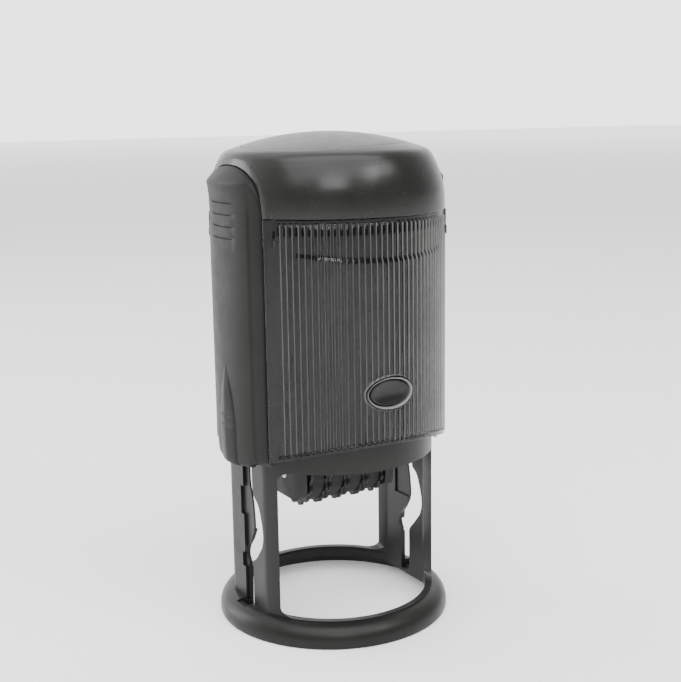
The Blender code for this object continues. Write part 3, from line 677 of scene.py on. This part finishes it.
def chamfer_cutter(side, outline, inner, outer, depth):
    """A four-sided bead swept along an outline, to chamfer a pocket's edge in the cap."""
    rows = []
    count = len(outline)
    for i, (y, z) in enumerate(outline):
        y0, z0 = outline[max(0, i - 1)]
        y1, z1 = outline[min(count - 1, i + 1)]
        length = math.hypot(y1 - y0, z1 - z0)
        ny, nz = (z1 - z0) / length, -(y1 - y0) / length
        corner = []
        for shift, lift in ((-inner, -depth), (outer, 0.06), (outer, 3.0), (-inner, 3.0)):
            py, pz = y + ny * shift, z + nz * shift
            corner.append(side_point(side, py, pz, dome_r(pz) + lift))
        rows.append(corner)
    points = [p for row in rows for p in row]
    faces = sheet_faces(len(rows), 4, wrap_columns=True)
    faces += [(0, 1, 2, 3), tuple(len(points) - 4 + k for k in range(4))]
    return mesh_from("chamfer", points, faces)


def dome_rings():
    """The skin of the dome and the liner: outside, down and under, then up the inside."""
    phis = [math.tau * i / FINE for i in range(FINE)]

    def level(r, z):
        return [dome_point(p, r, z) for p in phis]

    rings = []
    for drop, out in ((CROWN_WALL, 0.0), (0.12, 0.0), (0.03, 0.06)):
        ring = []
        for p in phis:
            r = insert_r(p) + INSERT_SEAM + out
            ring.append(dome_point(p, r, crown_z(r) - drop))
        rings.append(ring)
    for share in (0.08, 0.4, 0.75):
        ring = []
        for p in phis:
            inner = insert_r(p) + INSERT_SEAM
            r = inner + (SHOULDER[0][0] - inner) * share
            ring.append(dome_point(p, r, crown_z(r)))
        rings.append(ring)
    rings += [level(r, z) for r, z in smooth_line(SHOULDER, 4)]
    for r, z in ((WALL_R, WALL_LOW), (WALL_R - 0.02, DOME_LIP_Z + 0.1),
                 (WALL_R - 0.12, DOME_LIP_Z), (LINER_R, DOME_LIP_Z), (LINER_R, SHELL_LOW),
                 (LINER_BORE_R, SHELL_LOW), (LINER_BORE_R, LINER_BORE_TOP)):
        rings.append(level(r, z))
    rings += [level(r, z) for r, z in DOME_INSIDE]
    inmost = DOME_INSIDE[-1][0]
    rings.append(level(inmost, crown_z(inmost) - CROWN_WALL))
    return rings


def arch_outline():
    """What the arches cut off the liner's foot, front and rear, as (x, z)."""
    reach = LINER_R * math.sin(ARCH_PHI) + 0.5
    below = 40.0
    arch = [(-reach, below)]
    for i in range(41):
        x = -reach + 2 * reach * i / 40
        arch.append((x, arch_low_z(math.asin(x / CAP_R))))
    arch.append((reach, below))
    return arch[::-1]


def make_cap():
    """The dome and the liner, with pockets for the grips and holes for the buttons."""
    jobs = [prism("arch", [arch_outline()], -THROUGH, THROUGH, FRONT)]
    across = range(-12, 13)
    for side in (-1, 1):
        backs = [[side_point(side, half * t / 12, z, grip_back_r(z) - GAP) for t in across]
                 for z, half in grip_rows(GAP)]
        fronts = [[(side * 36.0, half * t / 12, z) for t in across]
                  for z, half in grip_rows(GAP)]
        jobs.append(slab_mesh("pocket", fronts, backs))
        edge = GRIP_HALF_Y + GAP
        line = [(edge, POCKET_EDGE_LOW)] + grip_outline(GAP)[2:] + [(-edge, POCKET_EDGE_LOW)]
        jobs.append(chamfer_cutter(side, line, POCKET_EDGE_IN, POCKET_EDGE_OUT,
                                   POCKET_EDGE_DEPTH))
    jobs.append(prism("hole", [ellipse(*BUTTON_HOLE, BUTTON_Z)], -THROUGH, THROUGH, FRONT))
    shell = carve(ring_mesh("cap_shell_body", dome_rings(), wrap_rows=True),
                  *[("DIFFERENCE", job) for job in jobs])
    piece("cap_dome_and_liner", shell, SHELL, "cap", ["cap_shell"], sharp=28)


def outline_distance(y, z, outline):
    """Distance from a point to a closed outline."""
    best = 1e9
    for (y0, z0), (y1, z1) in zip(outline, outline[1:] + outline[:1]):
        dy, dz = y1 - y0, z1 - z0
        length = dy * dy + dz * dz
        if length < 1e-12:
            continue
        t = max(0.0, min(1.0, ((y - y0) * dy + (z - z0) * dz) / length))
        best = min(best, math.hypot(y - y0 - t * dy, z - z0 - t * dz))
    return best


def edge_shares(count):
    """Stations from -1 to 1, closer together at both ends."""
    near = [0.0, 0.004, 0.01, 0.02, 0.034, 0.055]
    inner = [-0.92 + 1.84 * i / count for i in range(count + 1)]
    return [-1 + n for n in near] + inner + [1 - n for n in near[::-1]]


def make_grip(name, side):
    """A side panel with finger grooves, a crease near each edge and the keel low down."""
    outline = grip_outline(0.0, 60)
    front, back = [], []
    for z, half in grip_rows(0.0):
        front_row, back_row = [], []
        for share in sorted(edge_shares(34) + GRIP_STATIONS):
            y = half * share
            drop = fillet(outline_distance(y, z, outline), EDGE_R)
            for groove in GROOVES:
                depth = ramp(abs(z - groove), [(GROOVE_IN, GROOVE_DEPTH), (GROOVE_OUT, 0.0)])
                drop += depth * ramp(abs(y), [(GROOVE_HALF_Y - 0.5, 1.0),
                                              (GROOVE_HALF_Y, 0.0)])
            drop += ramp(abs(y), [(SIDE_CREASE_Y, 0.0),
                                  (SIDE_CREASE_Y + SIDE_CREASE_W, SIDE_CREASE_DEPTH)])
            lifted = z + grip_lift(y, z)
            front_row.append(side_point(side, y, lifted, grip_r(z) - drop))
            back_row.append(side_point(side, y, lifted, grip_back_r(z)))
        front.append(front_row)
        back.append(back_row)
    body = slab_mesh(name + "_panel", front, back)
    piece(name + "_panel", joined(body, make_tongue(side)), GRIP, "cap", [name],
          sharp=35)


def tongue_half(z):
    """Half the tongue's width at a height."""
    share = max(0.0, (z - TONGUE_NECK) / (TONGUE_TOP - TONGUE_NECK))
    return max(0.12, TONGUE_HALF_Y * (1 - share ** 1.7) ** 0.85)


def make_tongue(side):
    """The raised keel low on each grip, with two cross grooves."""
    low = GRIP_LOW + 0.25
    zs = [low, low + 0.1, low + 0.25, low + 0.5, 48.5, 50.0, 52.0, 54.0, 55.5]
    for groove in TONGUE_GROOVES:
        zs += [groove - 0.4, groove - 0.15, groove + 0.15, groove + 0.4]
    zs += [61.5, 63.0, 64.5, 66.0, 67.5, 69.0, 70.2, 71.2, 71.9, 72.3, TONGUE_TOP]
    shares = [0.0] + [sign * share for sign in (-1, 1)
                      for share in (1.0, 0.85, 0.6, 0.35, 0.18, 0.1, 0.05)]
    front, back = [], []
    for z in sorted(zs):
        half = tongue_half(z)
        crest = TONGUE_LIFT * ramp(z, [(low, 0.75), (low + 0.5, 0.95), (TONGUE_NECK, 1.0),
                                       (66.0, 0.85), (TONGUE_TOP, 0.1)])
        front_row, back_row = [], []
        for share in sorted(shares):
            flank = 1 - math.sqrt(share * share + 0.003)
            lift = crest * max(0.0, flank) ** 0.8
            for groove in TONGUE_GROOVES:
                lift -= ramp(abs(z - groove), [(0.15, 0.3), (0.4, 0.0)]) * (1 - abs(share))
            y = half * share
            lift -= TONGUE_SINK * max(0.0, abs(share) - 0.85) / 0.15
            front_row.append(side_point(side, y, z, grip_r(z) + lift))
            back_row.append(side_point(side, y, z, grip_r(z) - 0.6))
        front.append(front_row)
        back.append(back_row)
    return slab_mesh("tongue", front, back)


def make_insert():
    """The grey top insert, with a softly rounded rim."""
    steps = 128
    under = 1.25
    phis = [math.tau * i / steps for i in range(steps)]
    rings = []
    for share in (0.0, 0.12, 0.25, 0.38, 0.5, 0.6, 0.7, 0.8, 0.88, 0.94, 0.97):
        rings.append([dome_point(p, insert_r(p) * share, crown_z(insert_r(p) * share))
                      for p in phis])
    for inset, drop in ((0.16, 0.0), (0.08, 0.02), (0.02, 0.07), (0.0, 0.14), (0.0, 1.5)):
        rings.append([dome_point(p, insert_r(p) - inset, crown_z(insert_r(p)) - drop)
                      for p in phis])
    for r in (15.8, 8.0, 0.0):
        rings.append([dome_point(p, r, crown_z(r) - under) for p in phis])
    piece("top_insert_plate", ring_mesh("top_insert_plate", rings), INSERT, "cap",
          ["top_insert"], sharp=40)


# ---- windows ----

RIB_PITCH = 1.58
RIB_COUNT = 37
RIB_H = 0.5
# across one rib: (place in pitches from its middle, share of the rib's height)
RIB_SECTION = ((-0.30, 0.0), (-0.275, 0.62), (-0.25, 0.92), (-0.2, 1.0), (0.2, 1.0),
               (0.25, 0.92), (0.275, 0.62), (0.30, 0.0))
STEP_DEPTH = 0.44       # above the step line the surface lies this much deeper
STEP_Z = 100.5
STEP_RISE = 1.8
STEP_SPAN = 42.0        # degrees from the middle at which the line stops rising
WINDOW_PHI = math.radians(59.6)
WINDOW_IN_R = 30.35
LAND_R = 31.05          # the window's surface between the ribs
BORDER_R = 31.6
BORDER_LOW = 1.2        # height of the plain border along the arch
ARCH_GAP = 0.1
# the raised pad at each upper corner, each edge as two close lines: sides in degrees, heights
PAD_NEAR = (54.35, 54.5)
PAD_FAR = (57.45, 57.6)
PAD_LOW = (104.85, 104.93)
PAD_HIGH = (106.97, 107.05)
COLLAR_HOLE = (14.8, 9.4)
COLLAR_OUT = (7.38, 4.68)   # half width and half height of the collar outside, and inside
COLLAR_IN = (6.15, 3.6)
COLLAR_MARGIN = 0.22
FLANK_TURN = 0.75       # a flank's normal points away from the axis by less than this,
FLANK_SLOPE = 0.4       # and up or down by less than this


def step_z(phi):
    """The shallow curved step line that crosses the ribs below the dome."""
    return STEP_Z + STEP_RISE * min(1.0, abs(math.degrees(phi)) / STEP_SPAN) ** 2


def window_columns():
    """(angle, rib height share) across the window."""
    columns = []
    edge = math.degrees(WINDOW_PHI)
    for i in range(RIB_COUNT):
        centre = (i - (RIB_COUNT - 1) / 2) * RIB_PITCH
        for shift, share in RIB_SECTION:
            columns.append((math.degrees((centre + shift * RIB_PITCH) / CAP_R), share))
    side = [edge - inset for inset in (0.0, 0.06, 0.18, 0.46, 1.0)]
    side += [PAD_FAR[1], PAD_FAR[0], PAD_NEAR[1], PAD_NEAR[0], 53.2]
    left = [(-angle, 0.0) for angle in side]
    right = [(angle, 0.0) for angle in side[::-1]]
    return [(math.radians(a), s) for a, s in left + columns + right]


def window_rows():
    """Rows: (height function of the angle, share of rib height, share of step depth)."""
    rows = []
    for up, share in ((0.0, 0.0), (0.1, 0.0), (0.25, 0.0), (0.5, 0.0), (1.15, 0.0),
                      (1.45, 0.5), (1.8, 1.0)):
        rows.append((lambda phi, up=up: arch_low_z(phi) + ARCH_GAP + up, share, 0.0))
    for k in range(1, 9):
        rows.append((lambda phi, k=k: arch_low_z(phi) + 1.9
                     + (step_z(phi) - 0.8 - arch_low_z(phi) - 1.9) * k / 8, 1.0, 0.0))
    for up, recess in ((-0.3, 0.0), (-0.04, 0.0), (0.04, 0.04), (0.85, 0.94), (1.0, 1.0),
                       (1.6, 1.0)):
        rows.append((lambda phi, up=up: step_z(phi) + up, 1.0, recess))
    tops = [(z, 1.0) for z in PAD_LOW + PAD_HIGH + (109.7,)]
    tops += [(110.0, 0.5), (110.25, 0.0), (110.7, 0.0)]
    tops += [(WINDOW_TOP - inset, 0.0) for inset in (0.25, 0.1, 0.03, 0.0)]
    for z, share in tops:
        rows.append((lambda phi, z=z: z, share, 1.0))
    return rows


def pad_lift(angle, z):
    """How far the border stands up in the window's upper corners."""
    lift = 0.0
    if angle > sum(PAD_NEAR) / 2 and z > sum(PAD_LOW) / 2:
        lift += 0.15
        if angle < sum(PAD_FAR) / 2 and z < sum(PAD_HIGH) / 2:
            lift += 0.25
    return lift


def make_window_mesh():
    """The front window: a ribbed plate with a plain border, a step and a collar."""
    front, back = [], []
    edge = math.degrees(WINDOW_PHI)
    border = math.degrees((RIB_COUNT / 2 + 0.3) * RIB_PITCH / CAP_R)
    for height, rib_share, recess in window_rows():
        front_row, back_row = [], []
        for phi, rib in window_columns():
            angle = abs(math.degrees(phi))
            z = height(phi)
            from_side = math.radians(edge - angle) * CAP_R
            from_low = z - arch_low_z(phi) - ARCH_GAP
            in_border = angle > border
            if in_border or from_low < BORDER_LOW:
                radius = BORDER_R
            else:
                radius = LAND_R + RIB_H * rib * rib_share
                radius -= recess * STEP_DEPTH * ramp(angle, [(31, 1), (46, 0)])
            if in_border:
                radius += pad_lift(angle, z)
            radius -= fillet(min(from_side, from_low), 0.25) + fillet(WINDOW_TOP - z, 0.1)
            front_row.append(dome_point(phi, radius, z))
            back_row.append(dome_point(phi, WINDOW_IN_R, z))
        front.append(front_row)
        back.append(back_row)
    plate = slab_mesh("window", front, back)
    cut = prism("collar_hole", [ellipse(*COLLAR_HOLE, BUTTON_Z)], THROUGH / 2, THROUGH, FRONT)
    return joined(carve(plate, ("DIFFERENCE", cut)), make_collar())


def make_collar():
    """The clear oval collar around the lock button."""
    section = ((0.0, WINDOW_IN_R), (0.0, 31.35), (0.12, 31.6), (0.35, 31.78), (0.6, 31.75),
               (0.85, 31.5), (1.0, 31.2), (1.0, WINDOW_IN_R))
    steps = 96
    rings = []
    for share, radius in section:
        half_w, half_h = (out - (out - inside) * share
                          for out, inside in zip(COLLAR_OUT, COLLAR_IN))
        ring = []
        for i in range(steps):
            angle = math.tau * i / steps
            x = half_w * math.cos(angle)
            z = BUTTON_Z + half_h * math.sin(angle)
            ring.append((x, -math.sqrt(radius ** 2 - x ** 2), z))
        rings.append(ring)
    return ring_mesh("collar", rings, wrap_rows=True)


def paint_flank_highlights(mesh):
    """Give the steep sides of the ribs, and of the collar, a lighter opaque finish: painted
    highlight lines standing in for the light the flanks catch.
    """
    border = RIB_COUNT / 2 * RIB_PITCH / CAP_R
    rib_foot = LAND_R - STEP_DEPTH + 0.03
    mesh.materials.append(RIB_FLANK_HIGHLIGHT)
    for face in mesh.polygons:
        x, y, z = face.center / MM
        outward = Vector((x, y, 0.0)).normalized()
        among_ribs = abs(math.atan2(x, abs(y))) < border and math.hypot(x, y) > rib_foot
        on_collar = (abs(x) < COLLAR_OUT[0] + COLLAR_MARGIN
                     and abs(z - BUTTON_Z) < COLLAR_OUT[1] + COLLAR_MARGIN)
        upright = abs(face.normal.z) < FLANK_SLOPE
        # these flank faces take the lighter material, a painted highlight
        if among_ribs and (upright or on_collar) and face.normal.dot(outward) < FLANK_TURN:
            face.material_index = 1


def make_windows():
    """The front window and its copy at the rear."""
    mesh = make_window_mesh()
    for name, shape in (("front", mesh), ("rear", half_turned(mesh))):
        piece(name + "_ribbed_window", shape, CLEAR, name + "_window", [name + "_window"],
              sharp=50)
        paint_flank_highlights(shape)


BUTTON_HALF = (5.85, 3.3)   # half width and half height
BUTTON_FACE_Y = 31.1
BUTTON_ROOT_Y = 29.3
BUTTON_DISH = 0.75


def make_buttons():
    """Dished oval lock buttons."""
    steps = 80
    half_w, half_h = BUTTON_HALF

    def oval(share, y):
        return [(half_w * share * math.cos(math.tau * i / steps), -y,
                 BUTTON_Z + half_h * share * math.sin(math.tau * i / steps))
                for i in range(steps)]

    rings = []
    for share in (0.0, 0.2, 0.4, 0.6, 0.75, 0.86, 0.92, 0.96, 0.985, 1.0):
        dish = BUTTON_DISH * (1 - min(1.0, share / 0.9) ** 2)
        dish += fillet((1 - share) * half_h, 0.3)
        rings.append(oval(share, BUTTON_FACE_Y - dish))
    rings += [oval(1.0, BUTTON_ROOT_Y), oval(0.0, BUTTON_ROOT_Y)]
    mesh = ring_mesh("lock_button", rings)
    for name, shape in (("front", mesh), ("rear", half_turned(mesh))):
        piece(name + "_oval_button", shape, BUTTON, name + "_lock_button",
              [name + "_lock_button"], sharp=40)


# ---- return spring ----

SPRING_R = 9.0
SPRING_WIRE_R = 0.6
SPRING_TURNS = 7
SPRING_END = 0.12       # share of the turns at each end that lie close together


def make_spring():
    """The return spring, coiled between the ends of the CAD spring; this mesh keeps one length
    and does not shorten as the cap is pressed.
    """
    low, high = (corner.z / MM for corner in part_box("main_spring"))
    span = high - low - 2 * SPRING_WIRE_R
    per_turn, around = 40, 10
    count = SPRING_TURNS * per_turn
    rise = [(0.0, 0.0), (SPRING_END, 0.03), (1 - SPRING_END, 0.97), (1.0, 1.0)]
    up = Vector((0.0, 0.0, 1.0))
    rings = []
    for i in range(count + 1):
        angle = math.tau * i / per_turn
        out = Vector((math.cos(angle), math.sin(angle), 0.0))
        middle = out * SPRING_R + up * (low + SPRING_WIRE_R + span * ramp(i / count, rise))
        rings.append([tuple(middle + out * (SPRING_WIRE_R * math.cos(math.tau * k / around))
                            + up * (SPRING_WIRE_R * math.sin(math.tau * k / around)))
                      for k in range(around)])
    points = [point for ring in rings for point in ring]
    faces = sheet_faces(len(rings), around, wrap_columns=True)
    faces += [tuple(range(around)), tuple(len(points) - 1 - k for k in range(around))]
    spring = piece("return_spring", mesh_from("return_spring", points, faces), STEEL, "base",
                   ["main_spring"])
    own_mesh(spring)


# ---- CAD nodes that stay, with better finishes ----

KEPT = {
    "pad_tray": WORKS, "ink_pad": FELT,
    "left_arm": WORKS, "right_arm": WORKS, "left_pivot_pin": STEEL, "right_pivot_pin": STEEL,
    "front_card": CARD, "rear_card": CARD,
    "carriage_frame": WORKS, "text_plate": WORKS, "rubber_die": DIE, "wheel_axle": STEEL,
    "band_bridge": WORKS,
    "date_wheel_1": WORKS, "date_wheel_2": WORKS, "date_wheel_3": WORKS, "date_wheel_4": WORKS,
    "date_band_1": BAND, "date_band_2": BAND, "date_band_3": BAND, "date_band_4": BAND,
}


def dress_kept_nodes():
    """Give the CAD nodes that stay their finishes."""
    for name, finish in KEPT.items():
        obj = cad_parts[name]
        obj.data.materials.clear()
        obj.data.materials.append(finish)
        obj.data.shade_smooth()
        obj.data.set_sharp_from_angle(angle=math.radians(SOFT_EDGE_ANGLE))


# ---- floor, light and camera ----

BACKDROP = 3.0          # brightness of the wall that the camera sees
FLOOR_GLOW = 0.2        # the floor's own glow near the object, and far away
FAR_GLOW = 1.3
GLOW_NEAR = 0.3         # metres from the object
GLOW_FAR = 5.5
FLOOR_HALF = 6.0        # metres
FRONT_LIGHT = 0.35      # light from the camera's side of the studio, and from the far side
BACK_LIGHT = 2.8
FAR_SIDE = (-0.1, 0.995, 0.0)
LIGHT_TURNS = (-0.5, 1.0)   # how far towards the far side the light starts and stops rising
# name, azimuth (0 is the front, +90 the right), elevation, distance, width, height, watts
SOFTBOXES = (("ceiling", 0, 90, 0.95, 1.2, 1.2, 6.0),
             ("front_bank", -20, 59, 1.0, 1.6, 0.85, 17.0),
             ("key_left", -22, 32, 0.8, 0.3, 0.16, 1.5),
             ("key_right", 30, 38, 0.8, 0.42, 0.14, 1.4),
             ("rim_left", -140, 14, 0.9, 0.35, 0.6, 4.0))
LIGHT_TARGET = Vector((0.0, 0.0, 0.075))


def softbox(name, azimuth, elevation, distance, width, height, power):
    """An area light that faces the object."""
    az, el = math.radians(azimuth), math.radians(elevation)
    data = bpy.data.lights.new(name, "AREA")
    data.shape = "RECTANGLE"
    data.size = width
    data.size_y = height
    data.energy = power
    lamp = bpy.data.objects.new(name, data)
    place = LIGHT_TARGET + distance * Vector((math.sin(az) * math.cos(el),
                                              -math.cos(az) * math.cos(el), math.sin(el)))
    lamp.location = place
    lamp.rotation_euler = (LIGHT_TARGET - place).to_track_quat("-Z", "Y").to_euler()
    bpy.context.scene.collection.objects.link(lamp)


def make_floor():
    """A pale floor that glows a little more with distance, to meet the wall."""
    bm = bmesh.new()
    bmesh.ops.create_grid(bm, x_segments=1, y_segments=1, size=FLOOR_HALF)
    mesh = bpy.data.meshes.new("floor")
    bm.to_mesh(mesh)
    bm.free()
    floor = bpy.data.objects.new("floor", mesh)
    mat, tree, shader = new_material("floor_paper")
    shader.inputs["Base Color"].default_value = (0.92, 0.92, 0.92, 1.0)
    shader.inputs["Roughness"].default_value = 0.9
    shader.inputs["Specular IOR Level"].default_value = 0.1
    shader.inputs["Emission Color"].default_value = (1.0, 1.0, 1.0, 1.0)
    coord = tree.nodes.new("ShaderNodeTexCoord")
    away = tree.nodes.new("ShaderNodeVectorMath")
    away.operation = "LENGTH"
    tree.links.new(coord.outputs["Object"], away.inputs[0])
    glow = spread(tree, away.outputs["Value"], FLOOR_GLOW, FAR_GLOW, GLOW_NEAR, GLOW_FAR)
    tree.links.new(glow, shader.inputs["Emission Strength"])
    mesh.materials.append(mat)
    bpy.context.scene.collection.objects.link(floor)


def make_world():
    """A white studio whose far side lights the object more than the camera's side."""
    world = bpy.data.worlds.new("studio")
    world.use_nodes = True
    tree = world.node_tree
    plain = tree.nodes["Background"]
    plain.inputs["Color"].default_value = (1.0, 1.0, 1.0, 1.0)
    plain.inputs["Strength"].default_value = BACKDROP
    coord = tree.nodes.new("ShaderNodeTexCoord")
    dot = tree.nodes.new("ShaderNodeVectorMath")
    dot.operation = "DOT_PRODUCT"
    dot.inputs[1].default_value = FAR_SIDE
    tree.links.new(coord.outputs["Generated"], dot.inputs[0])
    level = tree.nodes.new("ShaderNodeMapRange")
    level.interpolation_type = "SMOOTHSTEP"
    level.inputs["From Min"].default_value = LIGHT_TURNS[0]
    level.inputs["From Max"].default_value = LIGHT_TURNS[1]
    level.inputs["To Min"].default_value = FRONT_LIGHT
    level.inputs["To Max"].default_value = BACK_LIGHT
    tree.links.new(dot.outputs["Value"], level.inputs["Value"])
    studio = tree.nodes.new("ShaderNodeBackground")
    tree.links.new(level.outputs["Result"], studio.inputs["Strength"])
    path = tree.nodes.new("ShaderNodeLightPath")
    mix = tree.nodes.new("ShaderNodeMixShader")
    tree.links.new(path.outputs["Is Camera Ray"], mix.inputs["Fac"])
    tree.links.new(studio.outputs["Background"], mix.inputs[1])
    tree.links.new(plain.outputs["Background"], mix.inputs[2])
    tree.links.new(mix.outputs["Shader"], tree.nodes["World Output"].inputs["Surface"])
    bpy.context.scene.world = world


CAMERA_PLACE = (-0.15526, -0.27514, 0.13742)    # metres
CAMERA_AZIMUTH = math.radians(-30)
CAMERA_PITCH = math.radians(11.095)
CAMERA_ROLL = math.radians(-0.893)
CAMERA_LENS = 62.1


def make_camera():
    """Camera at the front left, a little above the top of the cap."""
    level = math.cos(CAMERA_PITCH)
    forward = Vector((-math.sin(CAMERA_AZIMUTH) * level, math.cos(CAMERA_AZIMUTH) * level,
                      -math.sin(CAMERA_PITCH)))
    right = forward.cross(Vector((0, 0, 1))).normalized()
    up = right.cross(forward)
    rolled_right = math.cos(CAMERA_ROLL) * right + math.sin(CAMERA_ROLL) * up
    rolled_up = -math.sin(CAMERA_ROLL) * right + math.cos(CAMERA_ROLL) * up
    data = bpy.data.cameras.new("camera")
    data.lens = CAMERA_LENS
    data.sensor_width = 36.0
    camera = bpy.data.objects.new("camera", data)
    basis = Matrix((rolled_right, rolled_up, -forward)).transposed().to_4x4()
    camera.matrix_world = Matrix.Translation(CAMERA_PLACE) @ basis
    bpy.context.scene.collection.objects.link(camera)
    bpy.context.scene.camera = camera


make_base()
make_cap()
make_insert()
make_grip("left_grip", -1)
make_grip("right_grip", 1)
make_windows()
make_buttons()
make_spring()
dress_kept_nodes()
make_floor()
make_world()
for box_light in SOFTBOXES:
    softbox(*box_light)
make_camera()
